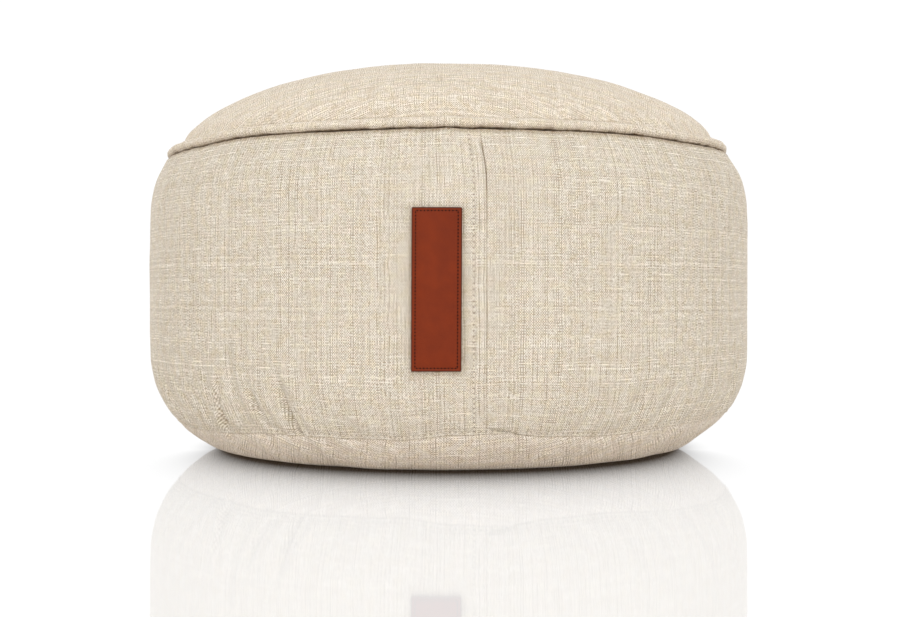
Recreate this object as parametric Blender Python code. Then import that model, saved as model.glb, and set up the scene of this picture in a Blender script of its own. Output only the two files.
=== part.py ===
"""Bean bag footstool: a round filled pouf of slub cloth with a rolled welt and a leather label.

Metres, +Z up, standing on z = 0 with its centre on the Z axis. The label faces -Y.
Angles are turned about Z from the front (-Y) towards the right (+X).
"""

import math
from collections import namedtuple

import bpy

# ---------------------------------------------------------------- driving dimensions
RADIUS = 0.250            # the side at its widest
HEIGHT = 0.3190           # floor to the middle of the crown
TOP_SEAM = 0.2420         # height of the welted seam
TOP_SEAM_RADIUS = 0.2216  # how far the welted seam is drawn in
FOOT_SEAM = 0.0280        # nominal height of the lower seam
FLAT_RADIUS = 0.1780      # the part of the base that lies on the floor
GAP = 0.0003              # between pieces that touch

COLUMNS = 144             # mesh columns round the body
FRONT_CROWDING = 0.5      # 0 spaces them evenly, 1 would put them all at the front
TINY = 1e-9

# The side and base seen in section, from the floor to the welt.
Outline = namedtuple("Outline", "height radius")
OUTLINE = (
    Outline(0.0000, FLAT_RADIUS),
    Outline(0.0040, 0.1985),
    Outline(0.0120, 0.2125),
    Outline(0.0240, 0.2262),
    Outline(0.0400, 0.2386),
    Outline(0.0580, 0.2463),
    Outline(0.0780, 0.2494),
    Outline(0.1000, 0.2498),
    Outline(0.1400, RADIUS),
    Outline(0.1800, 0.2499),
    Outline(0.2000, 0.2493),
    Outline(0.2150, 0.2468),
    Outline(0.2300, 0.2409),
    Outline(0.2385, 0.2360),
    Outline(0.2406, 0.2333),
    Outline(0.2414, 0.2290),
    Outline(0.2416, TOP_SEAM_RADIUS),
)

# Rows of the side band's mesh: where they lie, and how far each follows a seam up or down.
BandRow = namedtuple("BandRow", "height foot_pull top_pull")
BAND_ROWS = (
    BandRow(FOOT_SEAM, 1.0, 0.0),
    BandRow(0.0320, 1.0, 0.0),
    BandRow(0.0380, 1.0, 0.0),
    BandRow(0.0460, 0.8, 0.0),
    BandRow(0.0560, 0.5, 0.0),
    BandRow(0.0680, 0.2, 0.0),
    BandRow(0.0820, 0.0, 0.0),
    BandRow(0.1000, 0.0, 0.0),
    BandRow(0.1250, 0.0, 0.0),
    BandRow(0.1500, 0.0, 0.0),
    BandRow(0.1750, 0.0, 0.0),
    BandRow(0.1950, 0.0, 0.2),
    BandRow(0.2120, 0.0, 0.5),
    BandRow(0.2240, 0.0, 0.8),
    BandRow(0.2330, 0.0, 1.0),
    BandRow(0.2385, 0.0, 1.0),
    BandRow(0.2406, 0.0, 1.0),
    BandRow(0.2414, 0.0, 1.0),
    BandRow(0.2416, 0.0, 1.0),
)

# Rows of the base's mesh, from the floor up to the lower seam.
BaseRow = namedtuple("BaseRow", "height foot_pull")
BASE_ROWS = (
    BaseRow(0.0000, 0.0),
    BaseRow(0.0015, 0.0),
    BaseRow(0.0050, 0.1),
    BaseRow(0.0110, 0.3),
    BaseRow(0.0180, 0.7),
    BaseRow(0.0240, 1.0),
    BaseRow(FOOT_SEAM - GAP, 1.0),
)

# The crown in section, from the welt to the middle.
Crown = namedtuple("Crown", "radius height")
CROWN = (
    Crown(TOP_SEAM_RADIUS, TOP_SEAM + 0.0095),
    Crown(0.2168, 0.2605),
    Crown(0.2080, 0.2684),
    Crown(0.1950, 0.2776),
    Crown(0.1760, 0.2876),
    Crown(0.1500, 0.2973),
    Crown(0.1180, 0.3058),
    Crown(0.0820, 0.3122),
    Crown(0.0420, 0.3170),
)
CROWN_FIRM_RADIUS = 0.150  # inside this the crown no longer follows the seam

# The welt in section, measured out and up from the seam.
WeltPoint = namedtuple("WeltPoint", "out up")
WELT = (
    WeltPoint(0.0004, 0.0003),
    WeltPoint(0.0072, 0.0000),
    WeltPoint(0.0122, 0.0001),
    WeltPoint(0.0138, 0.0018),
    WeltPoint(0.0139, 0.0044),
    WeltPoint(0.0122, 0.0078),
    WeltPoint(0.0086, 0.0101),
    WeltPoint(0.0046, 0.0108),
    WeltPoint(0.0010, 0.0098),
)

# The seams wander: height at an angle, eased from one row to the next and round the back.
SeamMark = namedtuple("SeamMark", "angle height")
TOP_SEAM_MARKS = (
    SeamMark(-130, 0.2415),
    SeamMark(-75, 0.2390),
    SeamMark(-55, 0.2392),
    SeamMark(-38, 0.2417),
    SeamMark(-13, 0.2417),
    SeamMark(-3, 0.2425),
    SeamMark(10, 0.2419),
    SeamMark(32, 0.2423),
    SeamMark(50, 0.2412),
    SeamMark(73, 0.2427),
    SeamMark(135, 0.2420),
)
FOOT_SEAM_MARKS = (
    SeamMark(-125, 0.0280),
    SeamMark(-64, 0.0240),
    SeamMark(-49, 0.0247),
    SeamMark(-33, 0.0277),
    SeamMark(-8, 0.0268),
    SeamMark(1, 0.0305),
    SeamMark(9, 0.0315),
    SeamMark(18, 0.0285),
    SeamMark(28, 0.0272),
    SeamMark(49, 0.0314),
    SeamMark(62, 0.0325),
    SeamMark(120, 0.0290),
)

# Soft creases in the side: a trough from head to toe, with a low ridge beside it.
# A positive ridge lies on the right of the trough, a negative one on the left.
Crease = namedtuple("Crease", "head_angle head_height toe_angle toe_height width depth ridge")
CREASES = (
    Crease(-29.5, 0.074, -26.0, 0.034, 0.0085, 0.0042, 0.6),
    Crease(-35.0, 0.064, -31.6, 0.031, 0.0080, 0.0032, 0.6),
    Crease(-39.5, 0.084, -37.6, 0.036, 0.0090, 0.0026, 0.5),
    Crease(-46.5, 0.078, -44.2, 0.033, 0.0095, 0.0030, 0.5),
    Crease(-57.0, 0.066, -51.5, 0.028, 0.0100, 0.0032, 0.5),
    Crease(-71.0, 0.072, -66.0, 0.030, 0.0110, 0.0028, 0.5),
    Crease(-17.5, 0.052, -16.5, 0.030, 0.0080, 0.0016, 0.4),
    Crease(24.5, 0.056, 23.0, 0.031, 0.0080, 0.0014, -0.4),
    Crease(34.0, 0.064, 31.5, 0.033, 0.0085, 0.0022, -0.5),
    Crease(42.0, 0.062, 38.5, 0.035, 0.0085, 0.0018, -0.5),
    Crease(55.0, 0.088, 50.0, 0.038, 0.0100, 0.0024, -0.5),
    Crease(66.0, 0.100, 62.0, 0.040, 0.0110, 0.0026, -0.5),
    Crease(60.0, 0.222, 69.0, 0.165, 0.0090, 0.0016, -0.5),
    Crease(67.0, 0.226, 76.0, 0.180, 0.0090, 0.0014, -0.5),
    Crease(92.0, 0.078, 88.0, 0.036, 0.0120, 0.0026, 0.5),
    Crease(128.0, 0.072, 131.0, 0.034, 0.0140, 0.0024, 0.5),
    Crease(-104.0, 0.080, -101.0, 0.034, 0.0130, 0.0026, -0.5),
    Crease(-146.0, 0.070, -149.0, 0.034, 0.0150, 0.0022, 0.5),
    Crease(171.0, 0.076, 168.0, 0.036, 0.0150, 0.0022, 0.5),
)

# Shallow hollows where the crown's cloth is pulled, each lying along its own bearing.
Hollow = namedtuple("Hollow", "angle radius bearing length width depth")
HOLLOWS = (
    Hollow(-52, 0.170, 30, 0.070, 0.012, 0.0014),
    Hollow(-38, 0.196, 42, 0.055, 0.010, 0.0012),
    Hollow(-78, 0.150, 6, 0.065, 0.013, 0.0013),
    Hollow(44, 0.176, -36, 0.070, 0.012, 0.0015),
    Hollow(63, 0.190, -20, 0.060, 0.012, 0.0015),
    Hollow(20, 0.203, -68, 0.045, 0.008, 0.0010),
    Hollow(86, 0.140, 4, 0.060, 0.014, 0.0012),
    Hollow(-140, 0.165, 130, 0.080, 0.015, 0.0014),
    Hollow(150, 0.180, -125, 0.070, 0.014, 0.0013),
    Hollow(4, 0.090, 80, 0.080, 0.018, 0.0010),
)

# Small uneven waves round the body: their size, the whole turns mixed in them, and their start.
Wave = namedtuple("Wave", "size turns start")
TOP_SEAM_WAVE = Wave(0.0003, (31, 47, 59), 0.8)
FOOT_SEAM_WAVE = Wave(0.0004, (29, 41, 67), 2.3)
WELT_GATHERS = Wave(0.0009, (46, 71, 97), 1.7)
FOOT_GATHERS = Wave(0.0008, (52, 77, 91), 4.1)
BASE_GATHERS = Wave(0.0012, (52, 77, 91), 4.1)
CROWN_GATHERS = Wave(0.0006, (46, 71, 97), 0.4)
FLAT_EDGE_WAVE = Wave(0.0030, (9, 17, 23), 3.0)
WELT_PLUMPNESS = Wave(0.05, (23, 37, 53), 1.1)

# Where the gathers are strongest, measured from their seam, and how soon they fade.
WELT_GATHERS_BELOW, WELT_GATHERS_FADE = 0.010, 0.016
FOOT_GATHERS_FADE = 0.018
BASE_GATHERS_HEIGHT, BASE_GATHERS_FADE = 0.019, 0.012
CROWN_GATHERS_RADIUS, CROWN_GATHERS_FADE = 0.208, 0.014

FOOT_DRAW = 0.0015            # how far the lower seam pulls the cloth in
FOOT_DRAW_FADE = 0.0035
FILLING_SWELL = 0.0011        # broad unevenness from the loose filling
FILLING_LOW, FILLING_HIGH = 0.045, 0.225
FILLING_FADE = 0.05
FIRM_BELOW_WELT = 0.004       # the last of the side under the welt has no relief
FIRM_FADE = 0.010

# Vertical side seam, its flat seam allowance on the left, and its lean near the welt.
SIDE_SEAM_ANGLE = 5.80
SIDE_SEAM_HALF_WIDTH = 0.40
SIDE_SEAM_DEPTH = 0.0011
SIDE_SEAM_CLEARANCE = 0.85    # no other mesh column stands nearer
ALLOWANCE_EDGE_ANGLE = 3.80
ALLOWANCE_RISE = 0.0006
SIDE_SEAM_LEAN = -0.85        # degrees at the welt
LEAN_START = 0.185            # height at which it begins to lean
LEAN_SPREAD = 6.0             # degrees of cloth that lean with it

# The label: a leather plate that hugs the side.
LABEL_WIDTH = 0.0340
LABEL_HEIGHT = 0.1110
LABEL_THICKNESS = 0.0018
LABEL_LOW = 0.0755            # height of its lower edge
LABEL_MIDDLE_ANGLE = -1.85
LABEL_LEAN = 0.3              # degrees
LABEL_CORNER = 0.0015
LABEL_CHAMFER = 0.0004
LABEL_COLUMNS = 10
LABEL_ROWS = 22

CLOTH = (0.665, 0.571, 0.445)
WELT_CLOTH = (0.650, 0.556, 0.430)
BASE_CLOTH = (0.600, 0.510, 0.392)
LEATHER = (0.242, 0.041, 0.015)


# ---------------------------------------------------------------- helpers
def eased(share):
    """A smooth step from 0 to 1."""
    share = min(max(share, 0.0), 1.0)
    return share * share * (3.0 - 2.0 * share)


def bell(distance, width):
    return math.exp(-((distance / width) ** 2))


def slopes(xs, ys):
    """Slopes of a smooth curve through the points that never overshoots them."""
    steps = [(y1 - y0) / (x1 - x0) for x0, x1, y0, y1 in zip(xs, xs[1:], ys, ys[1:])]
    inner = [0.0 if a * b <= 0.0 else 2.0 * a * b / (a + b) for a, b in zip(steps, steps[1:])]
    return [steps[0]] + inner + [steps[-1]]


def curve_through(xs, ys):
    """A smooth function through the points (xs rising)."""
    grads = slopes(xs, ys)

    def value(x):
        x = min(max(x, xs[0]), xs[-1])
        i = max(k for k in range(len(xs) - 1) if xs[k] <= x)
        span = xs[i + 1] - xs[i]
        t = (x - xs[i]) / span
        rise = (1 + 2 * t) * (1 - t) ** 2 * ys[i] + t * t * (3 - 2 * t) * ys[i + 1]
        return rise + span * (t * (1 - t) ** 2 * grads[i] + t * t * (t - 1) * grads[i + 1])

    return value


def wandering_seam(marks):
    """A function of the angle through the marks, which closes round the back."""
    angles = [mark.angle for mark in marks]
    heights = [mark.height for mark in marks]
    angles = [angles[-1] - 360.0] + angles + [angles[0] + 360.0]
    heights = [heights[-1]] + heights + [heights[0]]

    def value(angle):
        i = max(k for k in range(len(angles) - 1) if angles[k] <= angle + TINY)
        share = (angle - angles[i]) / (angles[i + 1] - angles[i])
        return heights[i] + (heights[i + 1] - heights[i]) * eased(share)

    return value


def waves(angle, wave):
    """Height of an uneven wave at an angle, up to its size either way."""
    a = math.radians(angle)
    first, second, third = wave.turns
    swell = 0.6 + 0.4 * math.sin(5 * a + wave.start)
    mix = math.sin(first * a + wave.start) + 0.8 * math.sin(second * a + 2.1 * wave.start)
    return wave.size * swell * (mix + 0.6 * math.sin(third * a + 0.7 * wave.start)) / 2.4


outline_radius = curve_through([p.height for p in OUTLINE], [p.radius for p in OUTLINE])
top_seam_height = wandering_seam(TOP_SEAM_MARKS)
foot_seam_height = wandering_seam(FOOT_SEAM_MARKS)


def top_shift(angle):
    """How far the welted seam stands above its nominal height."""
    return top_seam_height(angle) - TOP_SEAM + waves(angle, TOP_SEAM_WAVE)


def foot_shift(angle):
    """How far the lower seam stands above its nominal height."""
    return foot_seam_height(angle) - FOOT_SEAM + waves(angle, FOOT_SEAM_WAVE)


# ---------------------------------------------------------------- relief of the cloth
def turned(angle_from, angle_to):
    """The shorter way round from one angle to the other, in degrees."""
    return (angle_to - angle_from + 180.0) % 360.0 - 180.0


def crease_relief(angle, height):
    relief = 0.0
    for crease in CREASES:
        run = crease.head_height - crease.toe_height
        down = (crease.head_height - height) / run
        middle = crease.head_angle + down * (crease.toe_angle - crease.head_angle)
        across = math.radians(turned(middle, angle)) * RADIUS
        if abs(across) > 4.0 * crease.width:
            continue
        fade = eased((down + 0.35) / 0.9) * eased((1.25 - down) / 0.35)
        trough = bell(across, crease.width * 0.62)
        side = crease.width if crease.ridge > 0 else -crease.width
        ridge = abs(crease.ridge) * bell(across - side, crease.width * 0.7)
        relief += fade * crease.depth * (ridge - trough)
    return relief


def pucker_relief(angle, height):
    """Small gathers hanging from the welted seam and standing on the lower one."""
    below = TOP_SEAM - height
    above = height - FOOT_SEAM
    hanging = waves(angle, WELT_GATHERS) * bell(below - WELT_GATHERS_BELOW, WELT_GATHERS_FADE)
    return hanging + waves(angle, FOOT_GATHERS) * bell(above, FOOT_GATHERS_FADE)


def filling_relief(angle, height):
    """Broad unevenness from the loose filling, none of it at the seams."""
    a = math.radians(angle)
    middle = eased((height - FILLING_LOW) / FILLING_FADE)
    middle *= eased((FILLING_HIGH - height) / FILLING_FADE)
    around = math.sin(4 * a + 0.6) * math.sin(2 * a) ** 2
    slanting = math.sin(6 * a + 20.0 * height) * math.sin(2 * a)
    return FILLING_SWELL * middle * (around + 0.6 * slanting)


def side_seam_relief(angle):
    """The seam's narrow ditch and the flat rise of its allowance."""
    ditch = -SIDE_SEAM_DEPTH * bell(angle - SIDE_SEAM_ANGLE, SIDE_SEAM_HALF_WIDTH * 0.75)
    left = eased((angle - ALLOWANCE_EDGE_ANGLE) / 0.6 + 0.5)
    right = eased((SIDE_SEAM_ANGLE - angle) / 0.3)
    return ditch + ALLOWANCE_RISE * left * right


def foot_draw(angle, height):
    """The sides are drawn in a little where the lower seam is sewn."""
    return -FOOT_DRAW * bell(height - FOOT_SEAM - foot_shift(angle), FOOT_DRAW_FADE)


def side_lean(angle, height):
    """Degrees by which the cloth leans beside the vertical seam, near the welt."""
    near = bell(angle - SIDE_SEAM_ANGLE, LEAN_SPREAD)
    return SIDE_SEAM_LEAN * near * eased((height - LEAN_START) / (TOP_SEAM - LEAN_START))


def side_radius(angle, height, lift=0.0):
    """Radius of the cloth's outer surface. A lift moves the outline up with the welted seam."""
    radius = outline_radius(height - lift)
    loose = eased((TOP_SEAM - FIRM_BELOW_WELT - (height - lift)) / FIRM_FADE)
    relief = crease_relief(angle, height) + pucker_relief(angle, height - lift)
    relief += filling_relief(angle, height) + side_seam_relief(angle)
    return radius + loose * relief + foot_draw(angle, height)


# ---------------------------------------------------------------- mesh columns and rows
def column_angles():
    """Angles round the body, closer together in front, with three on the vertical seam."""
    seam = [SIDE_SEAM_ANGLE + SIDE_SEAM_HALF_WIDTH * k for k in (-1, 0, 1)]
    angles = []
    for i in range(COLUMNS):
        even = 2.0 * math.pi * (i / COLUMNS) - math.pi
        angle = math.degrees(even - FRONT_CROWDING * math.sin(even))
        if abs(angle - SIDE_SEAM_ANGLE) > SIDE_SEAM_CLEARANCE:
            angles.append(angle)
    return sorted(angles + seam)


ANGLES = column_angles()


def place(angle, radius, height):
    a = math.radians(angle)
    return (radius * math.sin(a), -radius * math.cos(a), height)


def band_row(row):
    points = []
    for angle in ANGLES:
        lift = row.top_pull * top_shift(angle)
        height = row.height + lift + row.foot_pull * foot_shift(angle)
        leaning = angle + side_lean(angle, height)
        points.append(place(leaning, side_radius(angle, height, lift), height))
    return points


def base_row(row):
    points = []
    for angle in ANGLES:
        height = row.height + row.foot_pull * foot_shift(angle)
        rise = eased(row.height / FOOT_SEAM)
        gathered = bell(row.height - BASE_GATHERS_HEIGHT, BASE_GATHERS_FADE)
        radius = outline_radius(height) + foot_draw(angle, height)
        radius += (1.0 - rise) * waves(angle, FLAT_EDGE_WAVE)
        radius += gathered * waves(angle, BASE_GATHERS) + rise * side_seam_relief(angle)
        points.append(place(angle, radius, height))
    return points


def hollow_relief(x, y):
    relief = 0.0
    for hollow in HOLLOWS:
        cx, cy, _ = place(hollow.angle, hollow.radius, 0.0)
        bearing = math.radians(hollow.bearing)
        along = (x - cx) * math.cos(bearing) + (y - cy) * math.sin(bearing)
        across = -(x - cx) * math.sin(bearing) + (y - cy) * math.cos(bearing)
        relief -= hollow.depth * bell(along, hollow.length * 0.5) * bell(across, hollow.width)
    return relief


def crown_row(row):
    points = []
    follow = eased((row.radius - CROWN_FIRM_RADIUS) / (TOP_SEAM_RADIUS - CROWN_FIRM_RADIUS))
    for angle in ANGLES:
        x, y, _ = place(angle, row.radius, 0.0)
        gathered = bell(row.radius - CROWN_GATHERS_RADIUS, CROWN_GATHERS_FADE)
        height = row.height + follow * top_shift(angle) + (1.0 - follow) * hollow_relief(x, y)
        points.append((x, y, height + gathered * waves(angle, CROWN_GATHERS)))
    return points


# ---------------------------------------------------------------- solids
def add_part(name, points, faces, color, roughness, sharp_angle):
    mesh = bpy.data.meshes.new(name)
    mesh.from_pydata(points, [], faces)
    mesh.validate()
    mesh.shade_smooth()
    mesh.set_sharp_from_angle(angle=math.radians(sharp_angle))
    material = bpy.data.materials.new(name)
    material.use_nodes = True
    shader = material.node_tree.nodes["Principled BSDF"]
    shader.inputs["Base Color"].default_value = (*color, 1.0)
    shader.inputs["Roughness"].default_value = roughness
    shader.inputs["Metallic"].default_value = 0.0
    mesh.materials.append(material)
    part = bpy.data.objects.new(name, mesh)
    bpy.context.scene.collection.objects.link(part)
    return part


def filled_solid(name, rows, low_middle, high_middle, color):
    """A closed solid from rings of points, bottom to top, shut by a fan at each end."""
    count = len(ANGLES)
    points = [point for row in rows for point in row]
    low = len(points)
    points += [(0.0, 0.0, low_middle), (0.0, 0.0, high_middle)]
    last = (len(rows) - 1) * count
    faces = []
    for i in range(count):
        after = (i + 1) % count
        faces.append((low, after, i))
        faces.append((low + 1, last + i, last + after))
        for row in range(len(rows) - 1):
            under, over = row * count, (row + 1) * count
            faces.append((under + i, under + after, over + after, over + i))
    return add_part(name, points, faces, color, roughness=0.92, sharp_angle=50)


def make_base_panel():
    rows = [base_row(row) for row in BASE_ROWS]
    return filled_solid("base_panel", rows, 0.0, FOOT_SEAM - GAP, BASE_CLOTH)


def make_side_band():
    rows = [band_row(row) for row in BAND_ROWS]
    return filled_solid("side_band", rows, FOOT_SEAM, OUTLINE[-1].height, CLOTH)


def make_top_panel():
    floor = OUTLINE[-1].height + GAP
    seat = [place(angle, TOP_SEAM_RADIUS, floor + top_shift(angle)) for angle in ANGLES]
    rows = [seat] + [crown_row(row) for row in CROWN]
    return filled_solid("top_panel", rows, floor, HEIGHT, CLOTH)


def make_top_welt():
    count = len(ANGLES)
    turns = len(WELT)
    points = []
    for angle in ANGLES:
        plump = 1.0 + waves(angle, WELT_PLUMPNESS)
        for point in WELT:
            radius = TOP_SEAM_RADIUS + point.out
            points.append(place(angle, radius, TOP_SEAM + top_shift(angle) + point.up * plump))
    faces = []
    for i in range(count):
        here, there = i * turns, (i + 1) % count * turns
        for k in range(turns):
            after = (k + 1) % turns
            faces.append((here + k, there + k, there + after, here + after))
    return add_part("top_welt", points, faces, WELT_CLOTH, roughness=0.92, sharp_angle=60)


def label_point(u, v, out):
    """u from -1 to 1 across, v from -1 to 1 up, out from the cloth."""
    half_width, half_height = LABEL_WIDTH / 2.0, LABEL_HEIGHT / 2.0
    across, up = u * half_width, v * half_height
    overshoot = max(abs(across) - (half_width - LABEL_CORNER), 0.0)
    corner = LABEL_CORNER - math.sqrt(max(LABEL_CORNER ** 2 - overshoot ** 2, 0.0))
    up = math.copysign(min(abs(up), half_height - corner), up)
    lean = math.radians(LABEL_LEAN)
    height = LABEL_LOW + half_height + up * math.cos(lean) - across * math.sin(lean)
    turned_across = across * math.cos(lean) + up * math.sin(lean)
    angle = LABEL_MIDDLE_ANGLE + math.degrees(turned_across / RADIUS)
    return place(angle, side_radius(angle, height) + out, height)


def label_stops(count, half, inset):
    """Evenly spaced places from -1 to 1, with one more close to each end for the corners."""
    inner = 1.0 - inset / half
    even = [-inner + 2.0 * inner * i / count for i in range(count + 1)]
    return [-1.0] + even + [1.0]


def make_leather_label():
    us = label_stops(LABEL_COLUMNS, LABEL_WIDTH / 2.0, LABEL_CORNER)
    vs = label_stops(LABEL_ROWS, LABEL_HEIGHT / 2.0, LABEL_CORNER)
    shrink_u = 1.0 - LABEL_CHAMFER / (LABEL_WIDTH / 2.0)
    shrink_v = 1.0 - LABEL_CHAMFER / (LABEL_HEIGHT / 2.0)
    shoulder = GAP + LABEL_THICKNESS - LABEL_CHAMFER
    across, up = len(us), len(vs)
    back = [label_point(u, v, GAP) for v in vs for u in us]
    front = [label_point(u * shrink_u, v * shrink_v, GAP + LABEL_THICKNESS) for v in vs for u in us]
    points = back + front
    sheet = across * up
    faces = []
    for j in range(up - 1):
        for i in range(across - 1):
            a, b = j * across + i, j * across + i + 1
            c, d = b + across, a + across
            faces.append((a, d, c, b))
            faces.append((sheet + a, sheet + b, sheet + c, sheet + d))
    rim = list(range(across))
    rim += [j * across + across - 1 for j in range(1, up)]
    rim += [(up - 1) * across + i for i in range(across - 2, -1, -1)]
    rim += [j * across for j in range(up - 2, 0, -1)]
    edge = len(points)
    points += [label_point(us[k % across], vs[k // across], shoulder) for k in rim]
    for n, k in enumerate(rim):
        after = (n + 1) % len(rim)
        faces.append((k, rim[after], edge + after, edge + n))
        faces.append((edge + n, edge + after, sheet + rim[after], sheet + k))
    return add_part("leather_label", points, faces, LEATHER, roughness=0.5, sharp_angle=30)


def main():
    for thing in list(bpy.data.objects):
        bpy.data.objects.remove(thing, do_unlink=True)
    make_base_panel()
    make_side_band()
    make_top_panel()
    make_top_welt()
    make_leather_label()


main()
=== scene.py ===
"""Bean bag footstool: the looks of the part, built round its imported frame.

Metres, +Z up, standing on z = 0 with its centre on the Z axis. The label faces -Y.
Angles are degrees about Z, from the front (-Y) towards the right (+X).
"""

import math
from collections import namedtuple

import bpy
import numpy as np
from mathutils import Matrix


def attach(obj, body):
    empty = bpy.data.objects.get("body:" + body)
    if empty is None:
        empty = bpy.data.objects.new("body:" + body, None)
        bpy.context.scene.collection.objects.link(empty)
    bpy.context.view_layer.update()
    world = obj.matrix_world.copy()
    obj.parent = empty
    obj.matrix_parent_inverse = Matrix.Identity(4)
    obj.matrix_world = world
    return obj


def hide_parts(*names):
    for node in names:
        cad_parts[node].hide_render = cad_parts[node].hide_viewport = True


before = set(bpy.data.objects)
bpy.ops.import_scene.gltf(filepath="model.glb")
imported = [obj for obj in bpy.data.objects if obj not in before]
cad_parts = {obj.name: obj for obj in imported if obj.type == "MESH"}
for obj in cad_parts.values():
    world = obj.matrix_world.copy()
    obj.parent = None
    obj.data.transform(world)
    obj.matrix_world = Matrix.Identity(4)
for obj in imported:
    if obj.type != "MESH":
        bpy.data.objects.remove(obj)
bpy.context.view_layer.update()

# ================================================================ sizes of the footstool
RADIUS = 0.250            # the side at its widest
HEIGHT = 0.3190           # floor to the middle of the crown
TOP_SEAM = 0.2420         # height of the welted seam
TOP_SEAM_RADIUS = 0.2216  # how far the welted seam is drawn in
FOOT_SEAM = 0.0280        # nominal height of the lower seam
FLAT_RADIUS = 0.1780      # the part of the base that lies on the floor
GAP = 0.0003              # between pieces that touch
SHOULDER = 0.2385         # where the side turns in towards the welt
BAND_TOP = 0.2416         # where the side band ends under the welt

# The side and base seen in section, from the floor to the welt.
OUTLINE_HEIGHT = (
    0.0000, 0.0040, 0.0120, 0.0240, 0.0400, 0.0580, 0.0780, 0.1000, 0.1400,
    0.1800, 0.2000, 0.2150, 0.2300, SHOULDER, 0.2406, 0.2414, BAND_TOP,
)
OUTLINE_RADIUS = (
    FLAT_RADIUS, 0.1985, 0.2125, 0.2262, 0.2386, 0.2463, 0.2494, 0.2498, RADIUS,
    0.2499, 0.2493, 0.2468, 0.2413, 0.2373, 0.2358, 0.2338, TOP_SEAM_RADIUS,
)
# How far the side's heights follow each seam as it wanders.
PULL_HEIGHT = (
    FOOT_SEAM, 0.0380, 0.0460, 0.0560, 0.0680, 0.0820, 0.1750, 0.1950, 0.2120, 0.2240, 0.2330, BAND_TOP,
)
FOOT_PULL = (1.0, 1.0, 0.8, 0.5, 0.2, 0.0, 0.0, 0.0, 0.0, 0.0, 0.0, 0.0)
TOP_PULL = (0.0, 0.0, 0.0, 0.0, 0.0, 0.0, 0.0, 0.2, 0.5, 0.8, 1.0, 1.0)
# How far the base's heights follow the lower seam.
BASE_HEIGHT = (0.0000, 0.0015, 0.0050, 0.0110, 0.0180, 0.0240, FOOT_SEAM)
BASE_PULL = (0.0, 0.0, 0.1, 0.3, 0.7, 1.0, 1.0)
# The side is drawn in on the right and fuller on the left.
FOOT_DRAWN_IN_RIGHT = 0.0036
FOOT_FULLER_LEFT = 0.0008
SHOULDER_DRAWN_IN_RIGHT = 0.0028
SIDE_SPREAD = 44.0        # degrees over which these fade

# The crown in section, from the middle out to the welt.
CROWN_RADIUS = (0.0, 0.0420, 0.0820, 0.1180, 0.1500, 0.1760, 0.1950, 0.2080, 0.2168, TOP_SEAM_RADIUS)
CROWN_HEIGHT = (HEIGHT, 0.3170, 0.3122, 0.3058, 0.2973, 0.2876, 0.2776, 0.2684, 0.2605, 0.2515)
CROWN_FIRM_RADIUS = 0.150  # inside this the crown no longer follows the seam
CROWN_FULLER_LEFT, CROWN_FULLER_RIGHT = 0.0038, 0.0013  # how far it bulges at each side

# The welt in section, measured out and up from the seam.
WELT_OUT = (0.0004, 0.0060, 0.0098, 0.0121, 0.0136, 0.0144, 0.0138, 0.0110, 0.0060, 0.0010)
WELT_UP = (0.0003, -0.0001, 0.0000, 0.0006, 0.0019, 0.0038, 0.0058, 0.0075, 0.0083, 0.0081)
WELT_SLIMMER = 0.22         # share by which it stands out less on the right
WELT_SHADE_HEIGHT = 0.2412  # where the side is darkest below it

# The seams wander: height at an angle.
TOP_SEAM_MARKS = (
    (-130, 0.2415), (-75, 0.2390), (-55, 0.2392), (-38, 0.2417), (-13, 0.2417), (-3, 0.2425),
    (10, 0.2419), (32, 0.2423), (50, 0.2412), (73, 0.2427), (135, 0.2420),
)
FOOT_SEAM_MARKS = (
    (-125, 0.0280), (-64, 0.0240), (-49, 0.0247), (-33, 0.0277), (-8, 0.0268), (1, 0.0305),
    (9, 0.0315), (18, 0.0285), (28, 0.0272), (49, 0.0314), (62, 0.0325), (120, 0.0290),
)

# Soft creases in the side: a trough from head to toe, with a low ridge beside it.
Crease = namedtuple("Crease", "head_angle head_height toe_angle toe_height width depth ridge")
CREASES = (
    Crease(-29.5, 0.074, -26.0, 0.034, 0.0085, 0.0042, 0.6),
    Crease(-35.0, 0.064, -31.6, 0.031, 0.0080, 0.0032, 0.6),
    Crease(-39.5, 0.084, -37.6, 0.036, 0.0090, 0.0026, 0.5),
    Crease(-46.5, 0.078, -44.2, 0.033, 0.0095, 0.0030, 0.5),
    Crease(-57.0, 0.066, -51.5, 0.028, 0.0100, 0.0032, 0.5),
    Crease(-71.0, 0.072, -66.0, 0.030, 0.0110, 0.0028, 0.5),
    Crease(-17.5, 0.052, -16.5, 0.030, 0.0080, 0.0016, 0.4),
    Crease(24.5, 0.056, 23.0, 0.031, 0.0080, 0.0014, -0.4),
    Crease(34.0, 0.064, 31.5, 0.033, 0.0085, 0.0022, -0.5),
    Crease(42.0, 0.062, 38.5, 0.035, 0.0085, 0.0018, -0.5),
    Crease(55.0, 0.088, 50.0, 0.038, 0.0100, 0.0024, -0.5),
    Crease(66.0, 0.100, 62.0, 0.040, 0.0110, 0.0026, -0.5),
    Crease(60.0, 0.222, 69.0, 0.165, 0.0090, 0.0016, -0.5),
    Crease(67.0, 0.226, 76.0, 0.180, 0.0090, 0.0014, -0.5),
    Crease(92.0, 0.078, 88.0, 0.036, 0.0120, 0.0026, 0.5),
    Crease(128.0, 0.072, 131.0, 0.034, 0.0140, 0.0024, 0.5),
    Crease(-104.0, 0.080, -101.0, 0.034, 0.0130, 0.0026, -0.5),
    Crease(-146.0, 0.070, -149.0, 0.034, 0.0150, 0.0022, 0.5),
    Crease(171.0, 0.076, 168.0, 0.036, 0.0150, 0.0022, 0.5),
)

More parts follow.
